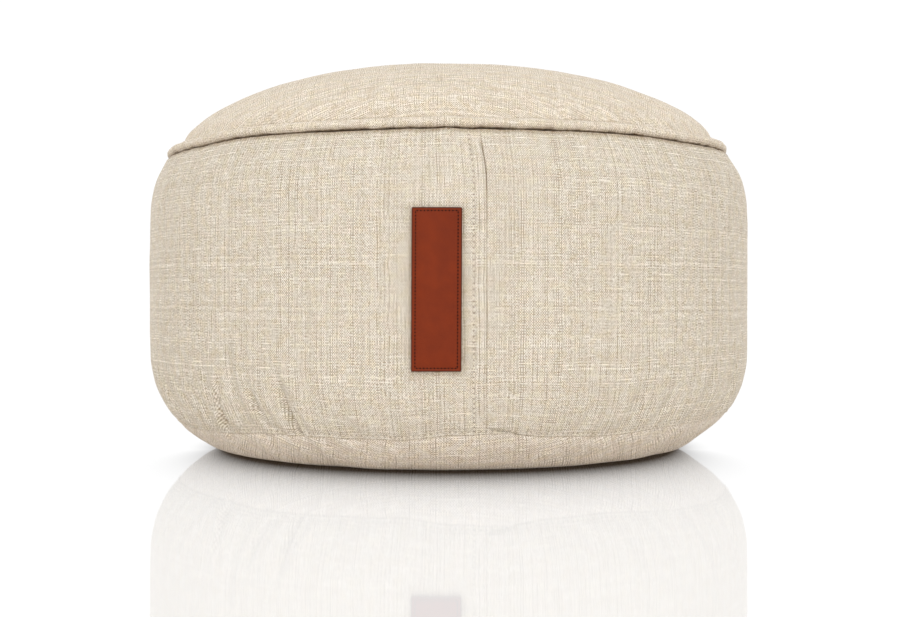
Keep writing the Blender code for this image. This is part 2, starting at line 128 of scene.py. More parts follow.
# Sharper short folds inside the soft creases: the same columns.
FOLDS = (
    Crease(-28.7, 0.058, -27.0, 0.030, 0.0042, 0.0045, 0.85),
    Crease(-35.5, 0.063, -33.4, 0.036, 0.0046, 0.0041, 0.8),
    Crease(-42.4, 0.064, -45.3, 0.030, 0.0046, 0.0044, -0.7),
    Crease(-50.4, 0.048, -50.8, 0.030, 0.0044, 0.0034, 0.6),
    Crease(-65.6, 0.066, -60.4, 0.029, 0.0058, 0.0041, 0.7),
    Crease(-20.0, 0.050, -18.6, 0.034, 0.0040, 0.0010, 0.6),
    Crease(34.4, 0.054, 33.0, 0.033, 0.0046, 0.0017, -0.6),
    Crease(43.5, 0.058, 42.0, 0.036, 0.0044, 0.0012, -0.6),
    Crease(55.8, 0.060, 55.2, 0.038, 0.0048, 0.0021, -0.6),
    Crease(66.6, 0.068, 64.6, 0.037, 0.0054, 0.0028, -0.6),
    Crease(52.0, 0.214, 59.5, 0.172, 0.0044, 0.0016, -0.9),
    Crease(-58.0, 0.222, -64.0, 0.190, 0.0050, 0.0013, 0.7),
    Crease(92.0, 0.066, 89.0, 0.034, 0.0056, 0.0024, 0.6),
    Crease(129.0, 0.062, 131.0, 0.034, 0.0054, 0.0020, -0.6),
    Crease(-103.0, 0.068, -101.5, 0.034, 0.0056, 0.0024, 0.6),
    Crease(-147.0, 0.060, -149.0, 0.034, 0.0054, 0.0020, 0.6),
    Crease(170.0, 0.064, 168.0, 0.036, 0.0056, 0.0020, -0.6),
)
FOLD_SHADE = 0.13  # how much darker the cloth is at the bottom of a fold

# Puckers that stand on the base below the seam: where each starts, its lean in degrees and its size.
PUCKER_LENGTH = 0.012
Pucker = namedtuple("Pucker", "angle lean width height")
PUCKERS = (
    Pucker(20.6, 2.2, 0.0040, 0.0030),
    Pucker(24.6, 1.8, 0.0036, 0.0022),
    Pucker(29.2, 1.6, 0.0042, 0.0024),
    Pucker(33.4, 1.3, 0.0038, 0.0020),
    Pucker(39.5, 1.0, 0.0046, 0.0016),
    Pucker(47.0, 1.2, 0.0050, 0.0014),
    Pucker(-3.0, 1.8, 0.0040, 0.0012),
    Pucker(1.0, 1.6, 0.0036, 0.0012),
    Pucker(13.5, 1.2, 0.0044, 0.0014),
    Pucker(-12.0, 1.8, 0.0044, 0.0014),
    Pucker(-18.5, 1.4, 0.0050, 0.0015),
    Pucker(-24.5, 1.0, 0.0046, 0.0019),
    Pucker(-30.5, 0.6, 0.0050, 0.0014),
    Pucker(-38.0, 0.4, 0.0056, 0.0015),
    Pucker(-48.0, -0.6, 0.0060, 0.0015),
)

# Shallow hollows where the crown's cloth is pulled, each lying along its own bearing.
Hollow = namedtuple("Hollow", "angle radius bearing length width depth")
HOLLOWS = (
    Hollow(-52, 0.170, 30, 0.070, 0.012, 0.0014),
    Hollow(-38, 0.196, 42, 0.055, 0.010, 0.0012),
    Hollow(-78, 0.150, 6, 0.065, 0.013, 0.0013),
    Hollow(44, 0.176, -36, 0.070, 0.012, 0.0015),
    Hollow(63, 0.190, -20, 0.060, 0.012, 0.0015),
    Hollow(20, 0.203, -68, 0.045, 0.008, 0.0010),
    Hollow(86, 0.140, 4, 0.060, 0.014, 0.0012),
    Hollow(-140, 0.165, 130, 0.080, 0.015, 0.0014),
    Hollow(150, 0.180, -125, 0.070, 0.014, 0.0013),
    Hollow(4, 0.090, 80, 0.080, 0.018, 0.0010),
)
# Short pulls beside the crown's seam: ridges where the depth is below nothing.
PULLS = (
    Hollow(16.2, 0.2100, -17, 0.030, 0.0036, -0.0021),
    Hollow(15.0, 0.2050, -17, 0.034, 0.0046, 0.0013),
    Hollow(11.5, 0.2205, -78, 0.020, 0.0026, 0.0022),
    Hollow(21.0, 0.2205, -69, 0.026, 0.0024, 0.0018),
    Hollow(24.0, 0.1930, -22, 0.036, 0.0040, -0.0012),
    Hollow(6.0, 0.1960, 60, 0.030, 0.0040, -0.0009),
    Hollow(-14.0, 0.2040, 70, 0.030, 0.0036, -0.0010),
    Hollow(-33.0, 0.1960, 40, 0.040, 0.0046, -0.0014),
    Hollow(-47.0, 0.2050, 30, 0.036, 0.0046, 0.0014),
    Hollow(38.0, 0.2010, -34, 0.036, 0.0046, -0.0015),
    Hollow(52.0, 0.2020, -30, 0.036, 0.0046, -0.0014),
    Hollow(-98.0, 0.2040, 8, 0.036, 0.0050, 0.0014),
    Hollow(124.0, 0.2060, -125, 0.036, 0.0050, -0.0014),
    Hollow(-160.0, 0.2040, 160, 0.036, 0.0050, 0.0014),
)

# Small uneven waves round the body: their size, the whole turns mixed in them, and their start.
Wave = namedtuple("Wave", "size turns start")
TOP_SEAM_WAVE = Wave(0.0003, (31, 47, 59), 0.8)
FOOT_SEAM_WAVE = Wave(0.0004, (29, 41, 67), 2.3)
WELT_GATHERS = Wave(0.0009, (46, 71, 97), 1.7)
FOOT_GATHERS = Wave(0.0008, (52, 77, 91), 4.1)
BASE_GATHERS = Wave(0.0012, (52, 77, 91), 4.1)
CROWN_GATHERS = Wave(0.0006, (46, 71, 97), 0.4)
FLAT_EDGE_WAVE = Wave(0.0030, (9, 17, 23), 3.0)
WELT_PLUMPNESS = Wave(0.05, (23, 37, 53), 1.1)

# Fine gathers that run from a seam, coarse ones first: their size, how far they reach from the
# seam, how they slant, and the seed of their random heights.
Gather = namedtuple("Gather", "height width length fade slant seed")
SIDE_GATHERS_AT_WELT = (
    Gather(0.00075, 0.0210, 0.060, 0.045, 0.15, 11),
    Gather(0.00050, 0.0115, 0.034, 0.024, -0.25, 13),
    Gather(0.00022, 0.0062, 0.018, 0.012, 0.30, 15),
)
SIDE_GATHERS_AT_FOOT = (
    Gather(0.00085, 0.0240, 0.050, 0.040, -0.35, 17),
    Gather(0.00055, 0.0120, 0.028, 0.020, 0.40, 19),
    Gather(0.00028, 0.0064, 0.014, 0.010, -0.30, 21),
)
CROWN_FINE_GATHERS = (
    Gather(0.00060, 0.0240, 0.060, 0.050, 0.20, 51),
    Gather(0.00050, 0.0125, 0.034, 0.026, -0.30, 53),
    Gather(0.00022, 0.0066, 0.018, 0.012, 0.30, 55),
)
BASE_FINE_GATHERS = (
    Gather(0.00090, 0.0210, 0.060, 0.040, 0.90, 61),
    Gather(0.00075, 0.0115, 0.040, 0.026, 1.10, 63),
    Gather(0.00040, 0.0062, 0.020, 0.012, 0.80, 65),
)
FOOT_SEAM_RIPPLES = (
    Gather(0.00060, 0.0095, 1.0, 1.0, 0.0, 81),
    Gather(0.00030, 0.0050, 1.0, 1.0, 0.0, 83),
)
WELT_WRINKLES = (Gather(0.00040, 0.0070, 1.0, 1.0, 0.0, 75),)

# Vertical side seam, its flat seam allowance on the left, and its lean near the welt.
SIDE_SEAM_ANGLE = 5.97
ALLOWANCE_EDGE_ANGLE = 3.80
ALLOWANCE_RISE = 0.0006
SIDE_SEAM_LEAN = -0.70        # degrees at the welt
LEAN_START = 0.205            # height at which it begins to lean
FOOT_LEAN = 0.40              # degrees at the lower seam
FOOT_LEAN_START = 0.070
LEAN_SPREAD = 6.0             # degrees of cloth that lean with it
TOPSTITCH_ANGLE = 3.90        # the row of stitches that holds the allowance down

FOOT_DRAW = 0.0007            # how far the lower seam pulls the cloth in
FOOT_REACH = 0.0035           # how far from it the two cloths are held together
SEWN_GAP = 0.00006            # between the cloths along the lower seam

# The label: a leather plate that hugs the side.
LABEL_WIDTH = 0.0340
LABEL_HEIGHT = 0.1110
LABEL_THICKNESS = 0.0018
LABEL_LOW = 0.0755            # height of its lower end
LABEL_MIDDLE = LABEL_LOW + LABEL_HEIGHT / 2.0
LABEL_MIDDLE_ANGLE = -1.85
LABEL_LEAN = 0.3              # degrees
LABEL_CORNER = 0.0008
LABEL_EDGE = 0.00025          # how far its rounded edge stands out past the flat sheet
# The edge from the front to the back: how far it stands out past the sheet and from the cloth.
LABEL_EDGE_STEPS = ((0.00018, 0.00135), (LABEL_EDGE, 0.00105), (LABEL_EDGE, 0.00070), (0.00022, 0.00045))

# Sewing.
TOPSTITCH_PITCH = 0.0040
FOOT_STITCHES = 357
FOOT_STITCH_RISE = 0.0026     # the row's height above the edge of the side band
LABEL_STITCH_PITCH = 0.0023
LABEL_STITCH_INSET_ACROSS = 0.0027
LABEL_STITCH_INSET_UP = 0.0023
LABEL_ROW_ACROSS = LABEL_WIDTH / 2.0 - LABEL_STITCH_INSET_ACROSS
LABEL_ROW_UP = LABEL_HEIGHT / 2.0 - LABEL_STITCH_INSET_UP
LABEL_STITCHES_ACROSS = int(2.0 * LABEL_ROW_ACROSS / LABEL_STITCH_PITCH)
LABEL_STITCHES_UP = int(2.0 * LABEL_ROW_UP / LABEL_STITCH_PITCH)
SEAM_THREAD = {"Stitch Length": 0.0030, "Thread Width": 0.0006, "Thread Rise": 0.0004}
LABEL_THREAD = {"Stitch Length": 0.00125, "Thread Width": 0.00105, "Thread Rise": 0.0006}
SEAM_THREAD_LIFT = 0.00002    # how far the middle of the thread lies above the cloth
LABEL_THREAD_LIFT = 0.00008
SEAM_HOLE_SIZE = 0.0011       # from the middle of a needle hole to where its dark ends
LABEL_HOLE_SIZE = 0.00040

# Mesh columns and rows of each piece.
SIDE_COLUMNS, SIDE_ROWS = 860, 108
CROWN_COLUMNS, CROWN_ROWS = 640, 96
BASE_COLUMNS, BASE_ROWS = 640, 40
WELT_COLUMNS, WELT_SECTION = 1500, 28
LABEL_STEP_ACROSS, LABEL_STEP_UP = 0.00045, 0.00052  # between its columns and its rows

# The cloth: its mid, pale and tan yarn, and what is changed in the weave for the crown and the base.
WEAVE_RELIEF = 0.00014        # height of the threads
SLUB_YARNS = ((0.590, 0.548, 0.472, 1.0), (0.845, 0.806, 0.738, 1.0), (0.330, 0.286, 0.214, 1.0))
# The crown's yarn, also used on the welt, is the side's painted lighter: painted light from above.
CROWN_YARNS_PAINTED_LIGHTER = ((0.637, 0.581, 0.493, 1.0), (0.913, 0.854, 0.771, 1.0), (0.356, 0.303, 0.224, 1.0))
# The base's yarn is pinker than the side's and painted lighter, as painted light where it faces the floor.
BASE_YARNS_PAINTED_LIGHTER = ((0.670, 0.614, 0.540, 1.0), (0.900, 0.852, 0.785, 1.0), (0.370, 0.316, 0.250, 1.0))
CROWN_WEAVE = {"Warp Share": 0.62, "Weft Share": 1.5, "Weft Bars": 0.5}
BASE_WEAVE = {"Warp Pitch": 0.00095, "Weft Pitch": 0.0012, "Contrast": 1.15}
SHEEN_TINT = (1.0, 0.96, 0.90, 1.0)
# Scales of the cloth's noise, in patches to the metre.
BROAD_SCALE, WANDER_SCALE, PEACH_SCALE, STRAW_SCALE, GRAIN_SCALE = 17.0, 30.0, 110.0, 150.0, 760.0
# Tints that the yarns' colour is multiplied by.
PEACH_PATCHES = (0.985, 0.950, 0.930, 1.0)
STRAW_PATCHES = (0.992, 0.982, 0.900, 1.0)
# Painted shade in the hollows between the threads.
SHADE_BETWEEN_THREADS = (0.60, 0.57, 0.52, 1.0)
# Painted shade, soft and deep, where the cloth lies under the welt, in seams and folds and beside the label.
SOFT_PAINTED_SHADE = (0.78, 0.74, 0.69, 1.0)
DEEP_PAINTED_SHADE = (0.52, 0.37, 0.25, 1.0)
# Painted shade in the needle holes.
NEEDLE_HOLE_SHADE = (0.20, 0.14, 0.10, 1.0)

# The leather, and the threads with their own colour and a darker one, painted as the shade between their
# strands.
LEATHER_DARK = (0.150, 0.0215, 0.006, 1.0)
LEATHER_PALE = (0.238, 0.035, 0.008, 1.0)
LEATHER_GROOVE = (0.45, 0.30, 0.25, 1.0)  # a tint that the leather's colour is multiplied by
LEATHER_BURNISHED = (0.060, 0.018, 0.010, 1.0)
# Painted shade in the label's needle holes.
LEATHER_HOLE_SHADE = (0.012, 0.004, 0.003, 1.0)
PEBBLE_SCALE, POWDER_SCALE, MOTTLE_SCALE, CLOUD_SCALE = 1500.0, 2600.0, 120.0, 34.0
LEATHER_RELIEF = 0.00008
FIBRE_SCALE, THREAD_RELIEF = 2200.0, 0.0001
CREAM_THREAD = ((0.86, 0.80, 0.70, 1.0), (0.62, 0.55, 0.45, 1.0))
DARK_THREAD = ((0.020, 0.005, 0.003, 1.0), (0.008, 0.003, 0.002, 1.0))

# The picture: a level camera in front, as far off as the outline says.
CAMERA_PLACE = (0.001, -1.180, 0.127)
CAMERA_LENS = 55.17
CAMERA_SHIFT_UP = -0.01444
ROOM_LIGHT = 1.02             # how bright the white room looks
FILL_LIGHT = 0.845            # how brightly it lights the cloth
FILL_COLOUR = (1.0, 0.956, 0.906, 1.0)
FLOOR_GLOW = 0.08             # light that the open floor sends up at the cloth
FLOOR_GLOW_COLOUR = (1.0, 0.70, 0.52, 1.0)
FLOOR_GLOSS = 0.38            # share of the floor that mirrors
GLOW_START, GLOW_FULL = FLAT_RADIUS, 0.215  # distances from the middle
# The floor as the camera sees it is painted: open white, and a painted shadow round the footstool's foot.
FLOOR_OPEN = (1.18, 1.18, 1.18, 1.0)        # the floor as the camera sees it
FLOOR_SHADED = (0.03, 0.018, 0.010, 1.0)
SHADE_START = 0.190           # distance from the middle at which the dark of the floor begins to clear
SHADE_REACH = 0.065           # how far it clears in front; less at the sides
Light = namedtuple("Light", "name azimuth elevation spread strength")
LIGHTS = (
    Light("soft light in front", 1.0, 14.0, 40.0, 1.20),
    Light("soft light overhead", 4.0, 78.0, 60.0, 0.43),
    Light("rim light on the left", -150.0, 12.0, 24.0, 0.34),
    Light("rim light on the right", 150.0, 12.0, 24.0, 0.36),
)


# ================================================================ shapes that repeat the solids
def eased(share):
    """A smooth step from 0 to 1."""
    share = np.clip(share, 0.0, 1.0)
    return share * share * (3.0 - 2.0 * share)


def bell(distance, width):
    """1 at no distance, fading smoothly either way over a width."""
    return np.exp(-((distance / width) ** 2))


def curve_through(xs, ys):
    """A smooth function through the points (xs rising) that never overshoots them."""
    xs, ys = np.array(xs), np.array(ys)
    steps = np.diff(ys) / np.diff(xs)
    agree = steps[:-1] * steps[1:] > 0.0
    total = np.where(agree, steps[:-1] + steps[1:], 1.0)
    inner = np.where(agree, 2.0 * steps[:-1] * steps[1:] / total, 0.0)
    grads = np.concatenate([steps[:1], inner, steps[-1:]])

    def value(x):
        x = np.clip(x, xs[0], xs[-1])
        i = np.clip(np.searchsorted(xs, x, side="right") - 1, 0, len(xs) - 2)
        span = xs[i + 1] - xs[i]
        t = (x - xs[i]) / span
        rise = (1 + 2 * t) * (1 - t) ** 2 * ys[i] + t * t * (3 - 2 * t) * ys[i + 1]
        return rise + span * (t * (1 - t) ** 2 * grads[i] + t * t * (t - 1) * grads[i + 1])

    return value


def wandering_seam(marks):
    """A function of the angle through the marks, which closes round the back."""
    angles = [m[0] for m in marks]
    heights = [m[1] for m in marks]
    angles = np.array([angles[-1] - 360.0] + angles + [angles[0] + 360.0], float)
    heights = np.array([heights[-1]] + heights + [heights[0]])

    def value(angle):
        angle = (np.asarray(angle, float) + 180.0) % 360.0 - 180.0
        i = np.clip(np.searchsorted(angles, angle, side="right") - 1, 0, len(angles) - 2)
        share = (angle - angles[i]) / (angles[i + 1] - angles[i])
        return heights[i] + (heights[i + 1] - heights[i]) * eased(share)

    return value


def waves(angle, wave):
    """Height of an uneven wave at an angle, up to its size either way."""
    a = np.radians(angle)
    first, second, third = wave.turns
    swell = 0.6 + 0.4 * np.sin(5 * a + wave.start)
    mix = np.sin(first * a + wave.start) + 0.8 * np.sin(second * a + 2.1 * wave.start)
    return wave.size * swell * (mix + 0.6 * np.sin(third * a + 0.7 * wave.start)) / 2.4


outline_radius = curve_through(OUTLINE_HEIGHT, OUTLINE_RADIUS)
crown_height = curve_through(CROWN_RADIUS, CROWN_HEIGHT)
top_seam_height = wandering_seam(TOP_SEAM_MARKS)
foot_seam_height = wandering_seam(FOOT_SEAM_MARKS)


def top_shift(angle):
    """How far the welted seam stands above its nominal height."""
    return top_seam_height(angle) - TOP_SEAM + waves(angle, TOP_SEAM_WAVE)


def foot_shift(angle):
    """How far the lower seam stands above its nominal height."""
    return foot_seam_height(angle) - FOOT_SEAM + waves(angle, FOOT_SEAM_WAVE)


def turned(angle_from, angle_to):
    """The shorter way round from one angle to the other, in degrees."""
    return (angle_to - angle_from + 180.0) % 360.0 - 180.0


def near_angle(middle, angle, width):
    """1 at one angle, fading smoothly either way round over a width in degrees."""
    return bell(turned(middle, angle), width)


def crease_relief(angle, height, creases=CREASES):
    """Creases in the side: each fades in below its head and out at its toe."""
    relief = 0.0
    for crease in creases:
        run = crease.head_height - crease.toe_height
        down = (crease.head_height - height) / run
        middle = crease.head_angle + down * (crease.toe_angle - crease.head_angle)
        across = np.radians(turned(middle, angle)) * RADIUS
        fade = eased((down + 0.35) / 0.9) * eased((1.25 - down) / 0.35)
        trough = bell(across, crease.width * 0.62)
        side = crease.width if crease.ridge > 0 else -crease.width
        ridge = abs(crease.ridge) * bell(across - side, crease.width * 0.7)
        relief = relief + fade * crease.depth * (ridge - trough)
    return relief


def pucker_relief(angle, height):
    """Small gathers hanging from the welted seam and standing on the lower one."""
    below, above = TOP_SEAM - height, height - FOOT_SEAM
    hanging = waves(angle, WELT_GATHERS) * bell(below - 0.010, 0.016)
    return hanging + waves(angle, FOOT_GATHERS) * bell(above, 0.018)


def uneven_fullness(angle, height):
    """The side is drawn in a little at the foot and shoulder on the right, and fuller on the left."""
    foot = FOOT_DRAWN_IN_RIGHT * near_angle(84.0, angle, SIDE_SPREAD)
    foot = foot - FOOT_FULLER_LEFT * near_angle(-90.0, angle, SIDE_SPREAD)
    shoulder = SHOULDER_DRAWN_IN_RIGHT * near_angle(90.0, angle, SIDE_SPREAD)
    return -foot * bell(height - 0.0125, 0.0125) - shoulder * bell(height - 0.2400, 0.0090)


def filling_relief(angle, height):
    """Broad unevenness from the loose filling, none of it at the seams."""
    a = np.radians(angle)
    middle = eased((height - 0.045) / 0.05) * eased((0.225 - height) / 0.05)
    around = np.sin(4 * a + 0.6) * np.sin(2 * a) ** 2
    slanting = np.sin(6 * a + 20.0 * height) * np.sin(2 * a)
    return 0.0011 * middle * (around + 0.6 * slanting)


def allowance_relief(angle):
    """The flat rise of the seam allowance on the left of the vertical seam."""
    left = eased(turned(ALLOWANCE_EDGE_ANGLE, angle) / 0.6 + 0.5)
    right = eased(turned(angle, SIDE_SEAM_ANGLE) / 0.3)
    return ALLOWANCE_RISE * left * right


def side_lean(angle, height):
    """Degrees by which the cloth leans beside the vertical seam, near the welt and near the foot."""
    upper = SIDE_SEAM_LEAN * eased((height - LEAN_START) / (TOP_SEAM - LEAN_START))
    lower = FOOT_LEAN * eased((FOOT_LEAN_START - height) / (FOOT_LEAN_START - FOOT_SEAM))
    return near_angle(SIDE_SEAM_ANGLE, angle, LEAN_SPREAD) * (upper + lower)


def hollow_relief(x, y, hollows=HOLLOWS):
    """Long shallow dents at plan places on the crown."""
    relief = 0.0
    for hollow in hollows:
        a, bearing = math.radians(hollow.angle), math.radians(hollow.bearing)
        dx, dy = x - hollow.radius * math.sin(a), y + hollow.radius * math.cos(a)
        along = dx * math.cos(bearing) + dy * math.sin(bearing)
        across = -dx * math.sin(bearing) + dy * math.cos(bearing)
        relief = relief - hollow.depth * bell(along, hollow.length * 0.5) * bell(across, hollow.width)
    return relief


# ================================================================ finer relief of the cloth
def uneven(across, along, turns, seed):
    """Smooth random heights from -1 to 1, one to each unit either way, closing after some turns."""
    lanes = 64
    draws = np.random.default_rng(seed).uniform(-1.0, 1.0, (turns, lanes))
    i, j = np.floor(across).astype(int), np.floor(along).astype(int)
    s, t = eased(across - i), eased(along - j)
    left, right, under, over = i % turns, (i + 1) % turns, j % lanes, (j + 1) % lanes
    low = draws[left, under] * (1 - s) + draws[right, under] * s
    high = draws[left, over] * (1 - s) + draws[right, over] * s
    return low * (1 - t) + high * t


def uneven_round(angle, turns, seed, along=0.0):
    """Uneven heights round the body, so many to the whole turn."""
    return uneven(angle / 360.0 * turns, along, turns, seed)


def gathers(angle, away, rows):
    """Gathers that run from a seam and fade away from it, stronger in some places than in others.

    7 and 3 are the lanes of the random heights and strengths in which they start."""
    relief = 0.0
    for row in rows:
        turns = int(round(2.0 * math.pi * RADIUS / row.width))
        across = angle / 360.0 * turns + row.slant * away / row.width
        height = uneven(across, away / row.length + 7.0, turns, row.seed)
        strength = 0.55 + 0.45 * uneven_round(angle, 29, row.seed + 1, 3.0)
        relief = relief + row.height * (height * strength * bell(away, row.fade))
    return relief


def past_label(angle, height):
    """How far a place on the side is past the label's nearer long edge, its upper and its lower end."""
    across = np.abs(np.radians(turned(LABEL_MIDDLE_ANGLE, angle))) * RADIUS - LABEL_WIDTH / 2.0
    over = height - LABEL_MIDDLE - LABEL_HEIGHT / 2.0
    under = LABEL_MIDDLE - LABEL_HEIGHT / 2.0 - height
    return across, over, under


def under_label(angle, height):
    """1 where the label presses the cloth flat, 0 clear of it."""
    across, over, under = past_label(angle, height)
    return eased(0.5 - across / 0.006) * eased(0.5 - np.maximum(over, under) / 0.006)


def beside_label(angle, height):
    """1 at the label's edge, fading over the cloth beside it and furthest below it."""
    across, over, under = (np.maximum(past, 0.0) for past in past_label(angle, height))
    return np.exp(-np.hypot(np.hypot(across / 0.0040, over / 0.0014), under / 0.0062))


def seam_tightness(height):
    """1 in the upper part of the vertical seam, where it is drawn in hard, 0 lower down."""
    return eased((height - 0.190) / 0.020)


def seam_sewing(angle, height):
    """The vertical seam's narrow ditch, its rounded lips and the pressed row of topstitches."""
    seam = turned(SIDE_SEAM_ANGLE, angle)
    row = turned(TOPSTITCH_ANGLE, angle)
    tightness = 0.65 + 0.35 * uneven(0.0, height / 0.009, 4, 31) + 0.8 * seam_tightness(height)
    ditch = -0.00055 * bell(seam, 0.085) - 0.00045 * bell(seam, 0.34)
    lips = 0.00030 * (bell(seam - 0.62, 0.38) + bell(seam + 0.62, 0.38))
    pulled = 0.6 + 0.4 * np.cos(2.0 * math.pi * height / TOPSTITCH_PITCH)
    pressed = -0.00038 * bell(row, 0.16) * pulled - 0.00022 * bell(row, 0.5)
    return tightness * (ditch + lips + pressed)


def foot_tuck(angle, height, shift):
    """The lap of cloth that the vertical seam's foot pushes over to the right."""
    edge = FOOT_SEAM + shift + 0.0046 * (1.0 - eased((angle - 6.0) / 7.5))
    reach = eased((angle - 5.9) / 0.7) * eased((15.5 - angle) / 6.0)
    above = height - edge
    lap = 0.0024 * eased(above / 0.0007 + 0.5) * bell(np.maximum(above, 0.0), 0.0070)
    ditch = -0.0018 * bell(above + 0.0006, 0.0009)
    return reach * (lap + ditch)


def fine_side_relief(angle, height, nominal):
    """What the side shows besides the solids' relief: short gathers, puckers at stitches, dents."""
    above = nominal - FOOT_SEAM
    relief = gathers(angle, TOP_SEAM - nominal, SIDE_GATHERS_AT_WELT)
    relief += gathers(angle, above, SIDE_GATHERS_AT_FOOT)
    relief += 0.00028 * uneven_round(angle, 44, 23, height / 0.038)
    relief += 0.00011 * uneven_round(angle, 120, 25, height / 0.014)
    relief = relief * (1.0 - bell(above, FOOT_REACH)) + foot_ripple(angle, above)
    relief += crease_relief(angle, height, FOLDS)
    return relief * (1.0 - under_label(angle, height)) - 0.0005 * beside_label(angle, height)


def foot_ripple(angle, away):
    """Small ripples that both cloths share where the lower seam joins them."""
    return gathers(angle, 0.0, FOOT_SEAM_RIPPLES) * bell(away, FOOT_REACH)


def pucker_stand(angle, away):
    """The puckers on the base, each leaning as it runs down from the seam."""
    relief = 0.0
    for pucker in PUCKERS:
        middle = pucker.angle + pucker.lean * away / PUCKER_LENGTH
        across = np.radians(turned(middle, angle)) * RADIUS
        hump = bell(across, pucker.width) - 0.5 * bell(across - 1.7 * pucker.width, pucker.width)
        relief = relief + pucker.height * hump
    return relief * eased(away / 0.002) * bell(away - PUCKER_LENGTH / 2.0, PUCKER_LENGTH)


def foot_stitch_relief(angle, above):
    """The pressed channel of the lower seam's stitches, and the rounded edge below it."""
    phase = np.cos(np.radians(angle) * FOOT_STITCHES)
    channel = -0.00045 * bell(above - FOOT_STITCH_RISE, 0.0009) * (0.75 + 0.25 * phase)
    edge = 0.00055 * bell(above - 0.0008, 0.0011) * (1.0 + 0.25 * phase)
    return channel + edge


# ================================================================ surfaces
def place(angle, radius, height):
    """Points at angles, radii and heights, as an array that ends in x, y, z."""
    a = np.radians(angle)
    radius, height = np.broadcast_arrays(radius, height)
    return np.stack(np.broadcast_arrays(radius * np.sin(a), -radius * np.cos(a), height), axis=-1)


def side_surface(angle, nominal, smooth=False):
    """The side band's outer face at nominal heights. Smooth leaves out the finer relief."""
    up, down = top_shift(angle), foot_shift(angle)
    lift = np.interp(nominal, PULL_HEIGHT, TOP_PULL) * up
    drop = np.interp(nominal, PULL_HEIGHT, FOOT_PULL) * down
    height = nominal + lift + drop
    loose = eased((TOP_SEAM - 0.004 - (height - lift)) / 0.010)
    relief = crease_relief(angle, height) + pucker_relief(angle, height - lift)
    relief = relief + filling_relief(angle, height) + allowance_relief(angle)
    radius = outline_radius(height - lift) - FOOT_DRAW * bell(height - FOOT_SEAM - down, FOOT_REACH)
    radius = radius + uneven_fullness(angle, height)
    if smooth:
        return place(angle, radius + loose * relief, height)
    relief = relief + fine_side_relief(angle, height, nominal) + seam_sewing(angle, height)
    relief = relief + foot_tuck(angle, height, down)
    radius = radius + loose * relief + foot_stitch_relief(angle, nominal - FOOT_SEAM)
    toothed = 0.0004 * uneven_round(angle, 150, 41) + 0.0003 * uneven_round(angle, 310, 43)
    height = height + bell(nominal - SHOULDER, 0.0030) * toothed
    return place(angle + side_lean(angle, height), radius, height)


def spread(density, low, high, count):
    """So many places from low to high, closer together where the density is greater."""
    fine = np.linspace(low, high, 20001)
    amount = density(fine)
    total = np.concatenate([[0.0], np.cumsum((amount[1:] + amount[:-1]) / 2.0)])
    return np.interp(np.linspace(0.0, total[-1], count), total, fine)


def columns_round(count, more):
    """So many angles for columns right round the body, closer together in front, and the first again."""
    return spread(lambda angle: 1.0 + more * np.cos(np.radians(angle)), 0.0, 360.0, count + 1)


def side_column_density(angle):
    """Columns are closer together in front, at the vertical seam and at its topstitches."""
    front = 1.0 + 0.45 * np.cos(np.radians(angle))
    seam = 5.0 * near_angle(SIDE_SEAM_ANGLE, angle, 0.8)
    return front + (seam + 3.0 * near_angle(TOPSTITCH_ANGLE, angle, 0.5))


def side_row_density(arc, full):
    """Rows are closer together at the lower seam, on the shoulder and under the welt."""
    left = full - arc
    return 1.0 + 5.0 * bell(arc, 0.006) + 2.5 * bell(left, 0.022) + 3.0 * bell(left - 0.015, 0.004)


def arc_along(xs, ys):
    """How far along the line through some points each of them lies."""
    return np.concatenate([[0.0], np.cumsum(np.hypot(np.diff(xs), np.diff(ys)))])


def outline_arc():
    """Nominal heights of the side and how far along the cloth each of them is."""
    heights = np.linspace(FOOT_SEAM, BAND_TOP, 4001)
    return heights, arc_along(heights, outline_radius(heights))


# ================================================================ meshes
def add_piece(name, points, faces, corner_uvs, material, sharp_angle=60.0, shade=None):
    """A mesh piece with its cloth places as UVs, in metres, and the painted shade at each point."""
    mesh = bpy.data.meshes.new(name)
    mesh.from_pydata(points.tolist(), [], faces)
    mesh.shade_smooth()
    mesh.set_sharp_from_angle(angle=math.radians(sharp_angle))
    layer = mesh.uv_layers.new(name="cloth_place")
    layer.uv.foreach_set("vector", np.asarray(corner_uvs, np.float32).ravel())
    if shade is not None:
        painted_shade = mesh.attributes.new("painted_shade", "FLOAT", "POINT")
        painted_shade.data.foreach_set("value", np.asarray(shade, np.float32).ravel())
    mesh.materials.append(material)
    piece = bpy.data.objects.new(name, mesh)
    bpy.context.scene.collection.objects.link(piece)
    return piece


def faces_between(rings, columns, joined=False):
    """Faces between closed rings of points, and their places in a UV table with a column more.

    Joined also puts faces between the last ring and the first, and the table then has a row more."""
    faces, corners = [], []
    for ring in range(rings if joined else rings - 1):
        under, over = ring * columns, (ring + 1) % rings * columns
        under_uv, over_uv = ring * (columns + 1), (ring + 1) * (columns + 1)
        for i in range(columns):
            after = (i + 1) % columns
            faces.append((under + i, under + after, over + after, over + i))
            corners.append((under_uv + i, under_uv + i + 1, over_uv + i + 1, over_uv + i))
    return faces, corners


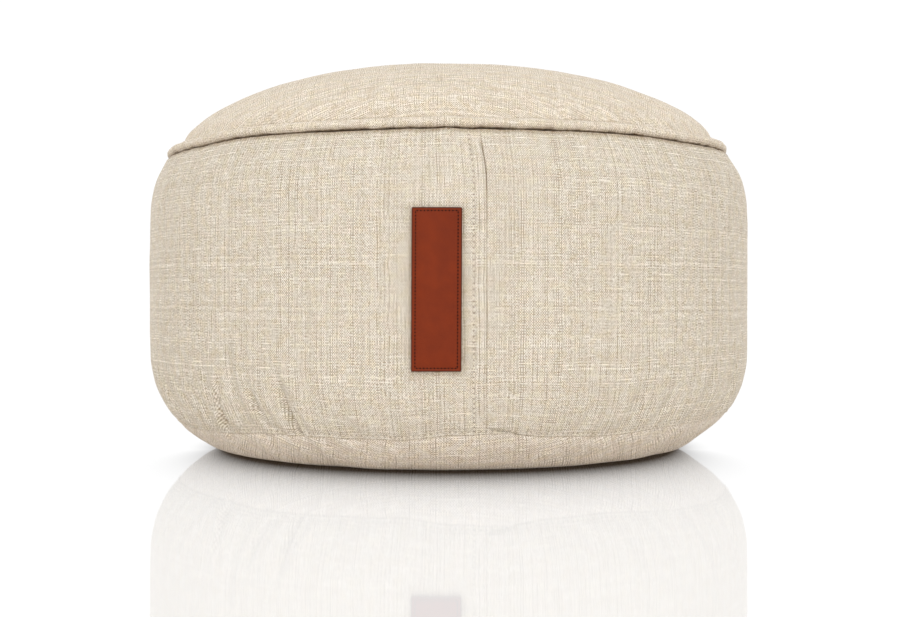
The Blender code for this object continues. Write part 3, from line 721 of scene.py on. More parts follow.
def filled_piece(name, rings, uvs, low, high, material, shade):
    """A closed piece from rings of points, bottom to top, shut by a fan at each end.

    uvs has one column more than rings, so that the pattern can end at the seam.
    low and high are each a point and its UV."""
    rows, columns = rings.shape[:2]
    points = np.concatenate([rings.reshape(-1, 3), [low[0], high[0]]])
    uv_table = np.concatenate([uvs.reshape(-1, 2), [low[1], high[1]]])
    bottom, bottom_uv = rows * columns, rows * (columns + 1)
    last, last_uv = (rows - 1) * columns, (rows - 1) * (columns + 1)
    faces, corners = faces_between(rows, columns)
    for i in range(columns):
        after = (i + 1) % columns
        faces += [(bottom, after, i), (bottom + 1, last + i, last + after)]
        corners += [(bottom_uv, i + 1, i), (bottom_uv + 1, last_uv + i, last_uv + i + 1)]
    order = np.concatenate([np.array(c) for c in corners])
    shades = np.append(shade, [0.0, 0.0])
    return add_piece(name, points, faces, uv_table[order], material, shade=shades)


def side_painted_shade(angle, height):
    """How much painted shade the side's cloth gets under the welt, at seams, beside the label and in folds.
    """
    below = np.maximum(WELT_SHADE_HEIGHT - height, 0.0)
    line = (0.62 + 0.16 * uneven_round(angle, 720, 37)) * bell(below, 0.0009)
    under_welt = np.maximum(line, 0.42 * bell(below, 0.0030))
    at_foot = 0.20 * bell(height - FOOT_SEAM, 0.0006)
    ditch = near_angle(SIDE_SEAM_ANGLE, angle, 0.085) * (0.56 + 0.34 * uneven(0.0, height / 0.0032, 4, 33))
    in_seam = ditch * (0.60 + 0.40 * seam_tightness(height))
    painted_shade = np.clip(np.maximum(under_welt + at_foot, in_seam), 0.0, 1.0)
    folded = -crease_relief(angle, height, FOLDS) - 0.5 * crease_relief(angle, height)
    in_fold = FOLD_SHADE * np.clip(folded / 0.0050, 0.0, 1.0)
    return np.maximum(np.maximum(painted_shade, 0.34 * beside_label(angle, height)), in_fold)


def make_side_band(material):
    """The long strip round the side, from the lower seam to under the welt."""
    angles = spread(side_column_density, SIDE_SEAM_ANGLE, SIDE_SEAM_ANGLE + 360.0, SIDE_COLUMNS + 1)
    heights, arc = outline_arc()
    rows = spread(lambda s: side_row_density(s, arc[-1]), 0.0, arc[-1], SIDE_ROWS)
    nominal = np.interp(rows, arc, heights)
    across, up = np.meshgrid(angles[:-1], nominal)
    rings = side_surface(across, up)
    uvs = np.stack(np.meshgrid(np.radians(angles) * RADIUS, rows), axis=-1)
    hidden = 0.2  # how far the cloth would reach over the hidden ends
    low = ((0.0, 0.0, FOOT_SEAM), (0.0, -hidden))
    high = ((0.0, 0.0, BAND_TOP), (0.0, arc[-1] + hidden))
    return filled_piece("side_cloth", rings, uvs, low, high, material, side_painted_shade(across, up))


def radial_place(angles, arc):
    """Plan places on a round panel that is cut flat: arc is the distance from its middle."""
    a = np.radians(angles)
    return np.stack([arc * np.sin(a), -arc * np.cos(a)], axis=-1)


def crown_surface(angle, radius):
    """The crown's outer face at angles and distances from the middle."""
    follow = eased((radius - CROWN_FIRM_RADIUS) / (TOP_SEAM_RADIUS - CROWN_FIRM_RADIUS))
    x, y = radius * np.sin(np.radians(angle)), -radius * np.cos(np.radians(angle))
    height = crown_height(radius) + follow * top_shift(angle) + (1.0 - follow) * hollow_relief(x, y)
    height = height + bell(radius - 0.208, 0.014) * waves(angle, CROWN_GATHERS)
    fine = gathers(angle, np.maximum(TOP_SEAM_RADIUS - radius, 0.0), CROWN_FINE_GATHERS)
    fine = fine + 0.00034 * uneven(x / 0.035 + 20.0, y / 0.030 + 20.0, 64, 57)
    fine = fine + 0.00016 * uneven(x / 0.012 + 40.0, y / 0.015 + 30.0, 64, 59)
    fuller = CROWN_FULLER_LEFT * near_angle(-90.0, angle, 52.0)
    fuller = fuller + CROWN_FULLER_RIGHT * near_angle(90.0, angle, 52.0)
    radius = radius + fuller * bell(radius - 0.205, 0.026)
    return place(angle, radius, height + fine + hollow_relief(x, y, PULLS))


def make_crown(material):
    """The round top: its underside, the low wall behind the welt, and the dome."""
    angles = columns_round(CROWN_COLUMNS, 0.3)
    radii = np.linspace(TOP_SEAM_RADIUS, 0.0, 4001)
    arc = arc_along(radii, crown_height(radii))
    stops = spread(lambda s: 1.0 + 3.0 * bell(s, 0.03), 0.0, arc[-1] - 0.002, CROWN_ROWS)
    across, inward = np.meshgrid(angles[:-1], np.interp(stops, arc, radii))
    dome = crown_surface(across, inward)
    floor = BAND_TOP + GAP
    seat = place(angles[:-1], TOP_SEAM_RADIUS, floor + top_shift(angles[:-1]))[None]
    rings = np.concatenate([seat, dome])
    wall = CROWN_HEIGHT[-1] - floor
    from_middle = np.concatenate([[arc[-1] + wall], arc[-1] - stops])
    uvs = radial_place(*np.meshgrid(angles, from_middle))
    # Painted shade: full at the foot of the low wall behind the welt, and a little at the crown's edge.
    painted_shade = np.zeros(rings.shape[:2])
    painted_shade[0] = 1.0
    painted_shade[1:] = 0.15 * bell(stops, 0.0008)[:, None]
    low = ((0.0, 0.0, floor), (0.0, 0.0))
    top = float(crown_surface(np.zeros(1), np.zeros(1))[0, 2])
    high = ((0.0, 0.0, top), (0.0, 0.0))
    return filled_piece("crown_cloth", rings, uvs, low, high, material, painted_shade)


def base_surface(angle, nominal):
    """The base's outer face at nominal heights."""
    down = foot_shift(angle)
    height = nominal + np.interp(nominal, BASE_HEIGHT, BASE_PULL) * down
    rise = eased(nominal / FOOT_SEAM)
    radius = outline_radius(height) - FOOT_DRAW * bell(height - FOOT_SEAM - down, FOOT_REACH)
    radius = radius + uneven_fullness(angle, height) + (1.0 - rise) * waves(angle, FLAT_EDGE_WAVE)
    radius = radius + bell(nominal - 0.019, 0.012) * waves(angle, BASE_GATHERS)
    radius = radius + rise * (allowance_relief(angle) + 0.5 * seam_sewing(angle, height))
    away = np.maximum(FOOT_SEAM - nominal, 0.0)
    shown = eased(nominal / 0.006)
    fine = gathers(angle, away, BASE_FINE_GATHERS) * (1.0 - bell(away, FOOT_REACH))
    fine = fine + foot_ripple(angle, away)
    shared = (crease_relief(angle, height) + crease_relief(angle, height, FOLDS)) * bell(away, 0.0060)
    under_edge = -0.00025 * bell(away, 0.0016)
    return place(angle, radius + shown * (fine + pucker_stand(angle, away) + shared) + under_edge, height)


def make_base(material):
    """The round base: flat where it stands, rounded up to the lower seam."""
    angles = columns_round(BASE_COLUMNS, 0.4)
    heights = np.linspace(0.0, FOOT_SEAM - SEWN_GAP, 2001)
    arc = arc_along(heights, outline_radius(heights))
    stops = spread(lambda s: 1.0 + 2.0 * bell(arc[-1] - s, 0.008), 0.0, arc[-1], BASE_ROWS)
    across, up = np.meshgrid(angles[:-1], np.interp(stops, arc, heights))
    rim = base_surface(across, up)
    flat_shares = np.array([0.30, 0.60, 0.85])
    flat = np.stack([rim[0] * [share, share, 0.0] for share in flat_shares])
    rings = np.concatenate([flat, rim])
    from_middle = np.concatenate([FLAT_RADIUS * flat_shares, FLAT_RADIUS + stops])
    uvs = radial_place(*np.meshgrid(angles, from_middle))
    # Painted shade along the lower seam.
    painted_shade = np.concatenate([np.zeros(flat.shape[:2]), 0.20 * bell(FOOT_SEAM - up, 0.0006)])
    low = ((0.0, 0.0, 0.0), (0.0, 0.0))
    high = ((0.0, 0.0, FOOT_SEAM - GAP), (0.0, 0.0))
    return filled_piece("base_cloth_panel", rings, uvs, low, high, material, painted_shade)


def closed_loop(xs, ys, count):
    """Even places on a smooth closed loop through points, each one's distance along it, and its length."""
    points = np.stack([xs, ys], axis=-1)
    dense = []
    for i in range(len(points)):
        p0, p1, p2, p3 = (points[(i + k) % len(points)] for k in (-1, 0, 1, 2))
        for t in np.linspace(0.0, 1.0, 40, endpoint=False):
            a = 2 * p1 + (p2 - p0) * t + (2 * p0 - 5 * p1 + 4 * p2 - p3) * t * t
            dense.append(0.5 * (a + (3 * p1 - p0 - 3 * p2 + p3) * t ** 3))
    dense = np.array(dense + [dense[0]])
    arc = arc_along(*dense.T)
    stops = np.linspace(0.0, arc[-1], count, endpoint=False)
    return np.interp(stops, arc, dense[:, 0]), np.interp(stops, arc, dense[:, 1]), stops, arc[-1]


def make_welt(material):
    """The rolled lip: one ring, a little uneven where it is sewn."""
    angles = columns_round(WELT_COLUMNS, 0.4)
    out, up, stops, girth = closed_loop(WELT_OUT, WELT_UP, WELT_SECTION)
    uvs = np.stack(np.meshgrid(np.radians(angles) * RADIUS, np.append(stops, girth)), axis=-1)
    angle = angles[:-1]
    out, up, stops = (values[:, None] for values in (out, up, stops))
    outer = eased((out - 0.006) / 0.006)
    lower = eased(out / 0.006) * eased((0.004 - up) / 0.004)
    plump = 1.0 + waves(angle, WELT_PLUMPNESS)
    slim = 1.0 - WELT_SLIMMER * near_angle(90.0, angle, 48.0)
    toothed = 0.0005 * uneven_round(angle, 170, 71) + 0.0004 * uneven_round(angle, 330, 73)
    toothed = np.maximum(toothed, -0.0002)
    wrinkled = outer * gathers(angle + 60.0 * stops, 0.0, WELT_WRINKLES)
    radius = TOP_SEAM_RADIUS + out * slim + wrinkled
    height = TOP_SEAM + top_shift(angle) + up * plump + lower * toothed + 0.5 * wrinkled
    rings = place(angle, radius, height)
    # Painted shade on the welt's underside: deep at its lower edge, soft over its lower half.
    shade = np.maximum(0.64 * bell(np.maximum(up, 0.0), 0.0008), 0.14 * bell(up, 0.0036) * (up < 0.007))
    shade = np.broadcast_to(np.clip(shade, 0.0, 1.0), rings.shape[:2])
    faces, corners = faces_between(WELT_SECTION, WELT_COLUMNS, joined=True)
    corner_uvs = uvs.reshape(-1, 2)[np.ravel(corners)]
    return add_piece("welt_lip", rings.reshape(-1, 3), faces, corner_uvs, material, 180.0, shade)


# ================================================================ the label
def label_place(across, up, out):
    """A point on the label: metres across and up from its middle, and out from the cloth."""
    lean = math.radians(LABEL_LEAN)
    height = LABEL_MIDDLE + up * math.cos(lean) - across * math.sin(lean)
    angle = LABEL_MIDDLE_ANGLE + np.degrees((across * math.cos(lean) + up * math.sin(lean)) / RADIUS)
    base = side_surface(angle, height, smooth=True)
    a = np.radians(angle)
    return base + np.stack([np.sin(a) * out, -np.cos(a) * out, out * 0.0], axis=-1)


def label_stops(half, inset, step):
    """Places from -half to half, closer together at the edge and along the stitch row."""
    def density(x):
        edge = half - np.abs(x)
        return 1.0 + 3.0 * bell(edge - inset, 0.0009) + 2.5 * bell(edge, 0.0008)

    return spread(density, -half, half, int(2.0 * half / step))


def label_front(across, up):
    """How far the label's face stands out: padded inside the stitches, pressed along them."""
    side = LABEL_WIDTH / 2.0 - np.abs(across)
    end = LABEL_HEIGHT / 2.0 - np.abs(up)
    to_row = np.minimum(side - LABEL_STITCH_INSET_ACROSS, end - LABEL_STITCH_INSET_UP)
    pressed = -0.00010 * bell(to_row, 0.00055) - 0.00012 * bell(to_row, 0.0016)
    edge = np.minimum(side, end)
    rounded = -0.00030 * bell(edge, 0.00045)
    padded = 0.00016 * eased(to_row / 0.006)
    return GAP + LABEL_THICKNESS - 0.00012 + pressed + rounded + padded


def make_label(material):
    """The leather patch: a front and a back sheet of one grid, and the rounded edge between them."""
    half_w, half_h = LABEL_WIDTH / 2.0, LABEL_HEIGHT / 2.0
    stops_across = label_stops(half_w - LABEL_EDGE, LABEL_STITCH_INSET_ACROSS, LABEL_STEP_ACROSS)
    stops_up = label_stops(half_h - LABEL_EDGE, LABEL_STITCH_INSET_UP, LABEL_STEP_UP)
    grid_across, grid_up = np.meshgrid(stops_across, stops_up)

    def cornered(across, up, grow):
        """Places moved outwards by grow at the edge, with the sheet's corners rounded."""
        across, up = across * (1.0 + grow / half_w), up * (1.0 + grow / half_h)
        over = np.clip(np.abs(across) - (half_w + grow - LABEL_EDGE - LABEL_CORNER), 0.0, LABEL_CORNER)
        cut = LABEL_CORNER - np.sqrt(LABEL_CORNER ** 2 - over ** 2)
        limit = half_h + grow - LABEL_EDGE - cut
        return across, np.sign(up) * np.minimum(np.abs(up), limit)

    across, up = cornered(grid_across, grid_up, 0.0)
    front = label_place(across, up, label_front(across, up))
    back = label_place(across, up, np.full(across.shape, GAP))
    rows, columns = across.shape
    rim = [(0, i) for i in range(columns)] + [(j, columns - 1) for j in range(1, rows)]
    rim += [(rows - 1, i) for i in range(columns - 2, -1, -1)] + [(j, 0) for j in range(rows - 2, 0, -1)]
    rim_j, rim_i = np.array(rim).T
    sheet, around = rows * columns, len(rim)
    sheet_uvs = np.stack([across, up], axis=-1).reshape(-1, 2)
    points, uvs = [front.reshape(-1, 3), back.reshape(-1, 3)], [sheet_uvs, sheet_uvs]
    loops = [rim_j * columns + rim_i]
    for n, (grow, out) in enumerate(LABEL_EDGE_STEPS):
        across, up = cornered(grid_across[rim_j, rim_i], grid_up[rim_j, rim_i], grow)
        points.append(label_place(across, up, np.full(across.shape, out)))
        uvs.append(np.stack([across, up], axis=-1))
        loops.append(2 * sheet + n * around + np.arange(around))
    loops.append(sheet + loops[0])
    faces = []
    for j in range(rows - 1):
        for i in range(columns - 1):
            a, b = j * columns + i, j * columns + i + 1
            c, d = b + columns, a + columns
            faces.append((a, b, c, d))
            faces.append((sheet + a, sheet + d, sheet + c, sheet + b))
    for upper, lower in zip(loops, loops[1:]):
        for n in range(around):
            after = (n + 1) % around
            faces.append((int(lower[n]), int(lower[after]), int(upper[after]), int(upper[n])))
    corner_uvs = np.concatenate(uvs)[np.ravel(faces)]
    return add_piece("leather_patch", np.concatenate(points), faces, corner_uvs, material, 180.0)


# ================================================================ nodes
class Bench:
    """A tree of nodes and short ways to add to it."""

    def __init__(self, tree):
        self.tree = tree

    def add(self, kind, values=(), **settings):
        """A node of a kind. values pairs its input names or numbers with sockets or plain values."""
        node = self.tree.nodes.new(kind)
        for key, value in settings.items():
            setattr(node, key, value)
        for key, value in dict(values).items():
            self.feed(node.inputs[key], value)
        return node

    def feed(self, socket, value):
        """Link an output to an input, or set the input to a plain value."""
        if isinstance(value, bpy.types.NodeSocket):
            self.tree.links.new(value, socket)
        else:
            socket.default_value = value

    def sum(self, operation, *values):
        """One Math node. values are its inputs in order."""
        return self.add("ShaderNodeMath", enumerate(values), operation=operation).outputs[0]

    def vector(self, operation, *values):
        """One Vector Math node."""
        return self.add("ShaderNodeVectorMath", enumerate(values), operation=operation).outputs[0]

    def parted(self, vector):
        """The x and y of a vector."""
        return self.add("ShaderNodeSeparateXYZ", {0: vector}).outputs[:2]

    def joined(self, x, y, z=0.0):
        """A vector from its parts."""
        return self.add("ShaderNodeCombineXYZ", {"X": x, "Y": y, "Z": z}).outputs[0]

    def noise(self, place, scale, detail=0.0, rough=0.5, colour=False):
        """Soft noise on a flat pattern, from 0 to 1."""
        settings = {"Vector": place, "Scale": scale, "Detail": detail, "Roughness": rough}
        node = self.add("ShaderNodeTexNoise", settings, noise_dimensions="2D")
        return node.outputs["Color" if colour else "Fac"]

    def stepped(self, value, low, high):
        """A smooth step from 0 at low to 1 at high."""
        settings = {"Value": value, "From Min": low, "From Max": high}
        return self.add("ShaderNodeMapRange", settings, interpolation_type="SMOOTHSTEP").outputs["Result"]

    def blend(self, share, first, second, how="MIX"):
        """One colour going over into another, or into the product of both."""
        settings = {"data_type": "RGBA", "blend_type": how, "clamp_factor": True}
        factor, colour_a, colour_b, result = 0, 6, 7, 2  # where a Mix node keeps them
        node = self.add("ShaderNodeMix", {factor: share, colour_a: first, colour_b: second}, **settings)
        return node.outputs[result]


def new_group(name, inputs, outputs, tree_kind="ShaderNodeTree"):
    """A node group with named sockets: (bench, inputs by name, the output node)."""
    tree = bpy.data.node_groups.new(name, tree_kind)
    for label, kind, value in inputs:
        socket = tree.interface.new_socket(label, in_out="INPUT", socket_type="NodeSocket" + kind)
        if value is not None:
            socket.default_value = value
    for label, kind in outputs:
        tree.interface.new_socket(label, in_out="OUTPUT", socket_type="NodeSocket" + kind)
    bench = Bench(tree)
    start = bench.add("NodeGroupInput")
    end = bench.add("NodeGroupOutput")
    return bench, {s.name: s for s in start.outputs}, end


# ================================================================ sewing, by Geometry Nodes
def stitch_tree():
    """Stitches on a row of points: each point says which way the thread runs and which way is out."""
    bench, given, end = new_group(
        "row of stitches",
        (("Row", "Geometry", None), ("Stitch Length", "Float", 0.003), ("Thread Width", "Float", 0.0005),
         ("Thread Rise", "Float", 0.0004), ("Unevenness", "Float", 0.08), ("Seed", "Int", 3),
         ("Thread", "Material", None)),
        (("Stitches", "Geometry"),),
        "GeometryNodeTree",
    )
    ball = bench.add("GeometryNodeMeshUVSphere", {"Segments": 8, "Rings": 6, "Radius": 0.5})
    grain = bench.add("GeometryNodeSetShadeSmooth", {"Geometry": ball.outputs["Mesh"]})
    turn = bench.add("FunctionNodeAxesToRotation", primary_axis="X", secondary_axis="Z")
    for name, axis in (("run", "Primary Axis"), ("out", "Secondary Axis")):
        read = bench.add("GeometryNodeInputNamedAttribute", data_type="FLOAT_VECTOR")
        bench.feed(read.inputs["Name"], name)
        bench.feed(turn.inputs[axis], read.outputs["Attribute"])
    chance = bench.add("FunctionNodeRandomValue", data_type="FLOAT_VECTOR")
    bench.feed(chance.inputs["Min"], (-1.0, -1.0, -1.0))
    bench.feed(chance.inputs["Seed"], given["Seed"])
    size = bench.joined(given["Stitch Length"], given["Thread Width"], given["Thread Rise"])
    vary = bench.vector("MULTIPLY_ADD", chance.outputs["Value"], given["Unevenness"], (1.0, 1.0, 1.0))
    sew = bench.add("GeometryNodeInstanceOnPoints", {
        "Points": given["Row"], "Instance": grain.outputs["Geometry"],
        "Rotation": turn.outputs["Rotation"], "Scale": bench.vector("MULTIPLY", size, vary),
    })
    real = bench.add("GeometryNodeRealizeInstances", {"Geometry": sew.outputs["Instances"]})
    paint = bench.add("GeometryNodeSetMaterial", {
        "Geometry": real.outputs["Geometry"], "Material": given["Thread"],
    })
    bench.feed(end.inputs["Stitches"], paint.outputs["Geometry"])
    return bench.tree


def sew_row(name, tree, row, thread, seed, sizes):
    """Stitches as one plain mesh, with a modifier that is gone once they are made."""
    centres, run, out = row
    points = bpy.data.meshes.new(name)
    points.from_pydata(centres.tolist(), [], [])
    for label, vectors in (("run", run), ("out", out)):
        attribute = points.attributes.new(label, "FLOAT_VECTOR", "POINT")
        attribute.data.foreach_set("vector", np.asarray(vectors, np.float32).ravel())
    piece = bpy.data.objects.new(name, points)
    bpy.context.scene.collection.objects.link(piece)
    sewing = piece.modifiers.new("sewing", "NODES")
    sewing.node_group = tree
    settings = {**sizes, "Seed": seed, "Thread": thread}
    for item in tree.interface.items_tree:
        if item.in_out == "INPUT" and item.name in settings:
            sewing[item.identifier] = settings[item.name]
    bpy.context.view_layer.update()
    graph = bpy.context.evaluated_depsgraph_get()
    made = bpy.data.meshes.new_from_object(piece.evaluated_get(graph), depsgraph=graph)
    piece.modifiers.remove(sewing)
    piece.data = made
    made.name = name
    bpy.data.meshes.remove(points)
    return piece


def unit(vectors):
    """The same vectors, each one long."""
    return vectors / np.linalg.norm(vectors, axis=-1, keepdims=True)


def row_of_stitches(surface, middles, reach, lift):
    """Stitches on a row: their centres, which way each runs, and which way is out.

    surface gives the point at a place along the row, and reach is how far either way to look."""
    centres, ahead, behind = surface(middles), surface(middles + reach), surface(middles - reach)
    run = unit(ahead - behind)
    radial = unit(centres * [1.0, 1.0, 0.0])
    out = unit(radial - run * np.sum(radial * run, axis=-1, keepdims=True))
    return centres + out * lift, run, out


def sew_side_seam(tree, thread):
    """Topstitches between the needle holes, which stand at whole pitches up the cloth."""
    heights, arc = outline_arc()
    middles = np.arange(1.5, int(arc[-1] / TOPSTITCH_PITCH) - 1.0) * TOPSTITCH_PITCH

    def surface(along):
        nominal = np.interp(along, arc, heights)
        return side_surface(np.full(nominal.shape, TOPSTITCH_ANGLE), nominal)

    row = row_of_stitches(surface, middles, TOPSTITCH_PITCH * 0.3, SEAM_THREAD_LIFT)
    return sew_row("side_seam_stitches", tree, row, thread, 5, SEAM_THREAD)


def sew_foot_seam(tree, thread):
    """Stitches right round, just above the lower seam."""
    pitch = 360.0 / FOOT_STITCHES
    middles = (np.arange(FOOT_STITCHES) + 0.5) * pitch

    def surface(angle):
        return side_surface(angle, np.full(angle.shape, FOOT_SEAM + FOOT_STITCH_RISE))

    row = row_of_stitches(surface, middles, pitch * 0.3, SEAM_THREAD_LIFT)
    return sew_row("foot_seam_stitches", tree, row, thread, 6, SEAM_THREAD)


def sew_label(tree, thread):
    """A closed row round the label, with a hole at each corner and stitches between the holes."""
    corners = [(-1.0, -1.0), (1.0, -1.0), (1.0, 1.0), (-1.0, 1.0)]
    rows = []
    for start, end in zip(corners, corners[1:] + corners[:1]):
        count = LABEL_STITCHES_ACROSS if start[1] == end[1] else LABEL_STITCHES_UP

        def surface(share):
            across = LABEL_ROW_ACROSS * (start[0] + (end[0] - start[0]) * share)
            up = LABEL_ROW_UP * (start[1] + (end[1] - start[1]) * share)
            return label_place(across, up, label_front(across, up))

        middles = (np.arange(count) + 0.5) / count
        rows.append(row_of_stitches(surface, middles, 0.3 / count, LABEL_THREAD_LIFT))
    row = [np.concatenate(parts) for parts in zip(*rows)]
    return sew_row("label_stitches", tree, row, thread, 7, LABEL_THREAD)


# ================================================================ materials
def thread_tone(bench, number, along, seed, quickness, paired):
    """A thread's own tone, which changes along it, and where it is a thick pale slub."""
    def draw(step):
        lane = bench.sum("ADD", number, seed + step)
        return bench.add("ShaderNodeTexWhiteNoise", {"W": lane}, noise_dimensions="1D").outputs["Value"]

    beside = bench.sum("ADD", draw(-1.0), draw(1.0))
    own = bench.sum("MULTIPLY_ADD", beside, -0.35, bench.sum("SUBTRACT", draw(0.0), 0.15 + paired / 2.0))
    own = bench.sum("MULTIPLY_ADD", bench.sum("FLOORED_MODULO", number, 2.0), paired, own)
    lane = bench.sum("MULTIPLY_ADD", number, 7.13, seed)
    long_run = bench.noise(bench.joined(lane, bench.sum("MULTIPLY", along, quickness)), 1.0, 1.0, 0.5)
    short_run = bench.noise(bench.joined(lane, bench.sum("MULTIPLY_ADD", along, 75.0, 31.0)), 1.0, 1.0)
    strength = bench.sum("MULTIPLY_ADD", long_run, 4.5, -1.05)
    tone = bench.sum("MULTIPLY_ADD", own, strength, bench.sum("MULTIPLY_ADD", long_run, 0.45, -0.225))
    return tone, bench.stepped(short_run, 0.66, 0.76)


def build_slub_weave():
    """Plain weave of slub yarn: colour, height and roughness from a place on the cloth in metres."""
    bench, given, end = new_group(
        "slub weave",
        (("Cloth Place", "Vector", None), ("Warp Pitch", "Float", 0.00085), ("Weft Pitch", "Float", 0.00094),
         ("Wander", "Float", 0.0018), ("Contrast", "Float", 1.0), ("Warp Share", "Float", 1.22),
         ("Weft Share", "Float", 0.85), ("Weft Bars", "Float", 0.0), ("Checker", "Float", 1.22),
         ("Grain", "Float", 1.6), ("Painted Shade", "Float", 0.0), ("Mid Yarn", "Color", None),
         ("Pale Yarn", "Color", None), ("Tan Yarn", "Color", None)),
        (("Color", "Color"), ("Height", "Float"), ("Roughness", "Float")),
    )
    m = bench.sum
    drift = bench.noise(given["Cloth Place"], WANDER_SCALE, 1.0, 0.5, colour=True)
    drift = bench.vector("SUBTRACT", drift, (0.5, 0.5, 0.5))
    moved = bench.vector("MULTIPLY_ADD", drift, given["Wander"], given["Cloth Place"])
    x, y = bench.parted(moved)
    warp_count = m("DIVIDE", x, given["Warp Pitch"])
    weft_count = m("DIVIDE", y, given["Weft Pitch"])
    warp_no, weft_no = m("FLOOR", warp_count), m("FLOOR", weft_count)
    warp_off = m("SUBTRACT", m("SUBTRACT", warp_count, warp_no), 0.5)
    weft_off = m("SUBTRACT", m("SUBTRACT", weft_count, weft_no), 0.5)
    odd = m("FLOORED_MODULO", m("ADD", warp_no, weft_no), 2.0)
    over = m("MULTIPLY_ADD", odd, -2.0, 1.0)
    warp_tone, warp_slub = thread_tone(bench, warp_no, y, 11.0, 50.0, 0.24)
    weft_tone, weft_slub = thread_tone(bench, weft_no, x, 57.0, 62.0, -0.24)

    def thread_top(offset, other_offset, slub, side):
        wide = m("MULTIPLY_ADD", slub, 0.35, 0.98)
        round_off = m("SUBTRACT", 1.0, m("POWER", m("DIVIDE", m("MULTIPLY", offset, 2.0), wide), 2.0))
        body = m("MULTIPLY_ADD", slub, 0.45, m("MULTIPLY", round_off, 0.42))
        wave = m("MULTIPLY", m("COSINE", m("MULTIPLY", other_offset, math.pi)), side)
        return m("ADD", body, m("MULTIPLY", wave, 0.42))

    warp_top = thread_top(warp_off, weft_off, warp_slub, over)
    weft_top = thread_top(weft_off, warp_off, weft_slub, m("MULTIPLY", over, -1.0))
    height = m("MAXIMUM", warp_top, weft_top)
    lies_over = bench.stepped(m("SUBTRACT", warp_top, weft_top), -0.10, 0.10)
    mixed_warp = m("MULTIPLY", warp_tone, given["Warp Share"])
    mixed_weft = m("MULTIPLY", weft_tone, given["Weft Share"])
    tone = bench.add("ShaderNodeMix", {0: lies_over, 2: mixed_weft, 3: mixed_warp}).outputs[0]
    slub = bench.add("ShaderNodeMix", {0: lies_over, 2: weft_slub, 3: warp_slub}).outputs[0]
    crossing_no = {"Vector": bench.joined(warp_no, weft_no, 0.5)}
    crossing = bench.add("ShaderNodeTexWhiteNoise", crossing_no, noise_dimensions="2D").outputs["Value"]
    broad = bench.noise(given["Cloth Place"], BROAD_SCALE, 2.0, 0.6)
    checker = m("MULTIPLY", m("SINE", m("MULTIPLY", warp_count, math.pi)),
                m("SINE", m("MULTIPLY", weft_count, math.pi)))
    bars = bench.noise(bench.joined(m("MULTIPLY", x, 14.0), m("MULTIPLY", y, 420.0)), 1.0, 1.0)
    tone = m("ADD", tone, m("MULTIPLY_ADD", crossing, 0.40, -0.20))
    tone = m("MULTIPLY_ADD", checker, given["Checker"], tone)
    grain = m("SUBTRACT", bench.noise(moved, GRAIN_SCALE), 0.5)
    tone = m("MULTIPLY_ADD", grain, given["Grain"], tone)
    tone = m("MULTIPLY_ADD", m("SUBTRACT", bars, 0.5), given["Weft Bars"], tone)
    tone = m("ADD", tone, m("MULTIPLY_ADD", broad, 0.10, -0.05))
    tone = m("ADD", tone, m("MULTIPLY", slub, 0.55))
    tone = m("MULTIPLY", tone, given["Contrast"])
    toward_pale = bench.add("ShaderNodeClamp", {0: tone}).outputs[0]
    toward_tan = bench.add("ShaderNodeClamp", {0: m("MULTIPLY", tone, -1.0)}).outputs[0]
    colour = bench.blend(toward_pale, given["Mid Yarn"], given["Pale Yarn"])
    colour = bench.blend(toward_tan, colour, given["Tan Yarn"])
    peach = bench.stepped(bench.noise(given["Cloth Place"], PEACH_SCALE, 1.0), 0.40, 0.65)
    elsewhere = bench.vector("ADD", given["Cloth Place"], (3.1, 1.7, 0.0))
    straw = bench.stepped(bench.noise(elsewhere, STRAW_SCALE, 1.0), 0.42, 0.68)
    colour = bench.blend(m("MULTIPLY", peach, 0.85), colour, PEACH_PATCHES, "MULTIPLY")
    colour = bench.blend(m("MULTIPLY", straw, 0.75), colour, STRAW_PATCHES, "MULTIPLY")
    # Painted shade in the hollows between the threads.
    pit_shade = bench.stepped(height, 0.36, -0.12)
    colour = bench.blend(m("MULTIPLY", pit_shade, 0.30), colour, SHADE_BETWEEN_THREADS, "MULTIPLY")
    # Painted shade: soft where the cloth lies under the welt, in seams and folds and beside the label, and a
    # deep line with a ragged edge where it is darkest.
    colour = bench.blend(bench.stepped(given["Painted Shade"], 0.0, 0.40), colour, SOFT_PAINTED_SHADE, "MULTIPLY")
    ragged_shade_place = bench.vector("MULTIPLY", given["Cloth Place"], (480.0, 430.0, 1.0))
    ragged_shade = m("MULTIPLY_ADD", m("SUBTRACT", bench.noise(ragged_shade_place, 1.0, 1.0), 0.5), 1.25, given["Painted Shade"])
    colour = bench.blend(bench.stepped(ragged_shade, 0.36, 0.96), colour, DEEP_PAINTED_SHADE, "MULTIPLY")
    bench.feed(end.inputs["Color"], colour)
    bench.feed(end.inputs["Height"], m("MULTIPLY_ADD", slub, 0.18, height))
    bench.feed(end.inputs["Roughness"], m("MULTIPLY_ADD", slub, -0.08, 0.92))
    return bench.tree


def build_needle_holes():
    """Needle holes along a row of stitches, as a mask for their painted shade and their dent: how far across
    the row and along it, in metres.
    """
    bench, given, end = new_group(
        "needle holes",
        (("Across", "Float", 0.0), ("Along", "Float", 0.0),
         ("Pitch", "Float", 0.004), ("Size", "Float", 0.0005)),
        (("Mask", "Float"),),
    )
    m = bench.sum
    step = m("FRACT", m("DIVIDE", given["Along"], given["Pitch"]))
    along = m("MULTIPLY", m("SUBTRACT", step, 0.5), given["Pitch"])
    away = m("SQRT", m("ADD", m("POWER", given["Across"], 2.0), m("POWER", along, 2.0)))
    bench.feed(end.inputs["Mask"], bench.stepped(away, given["Size"], 0.0))
    return bench.tree


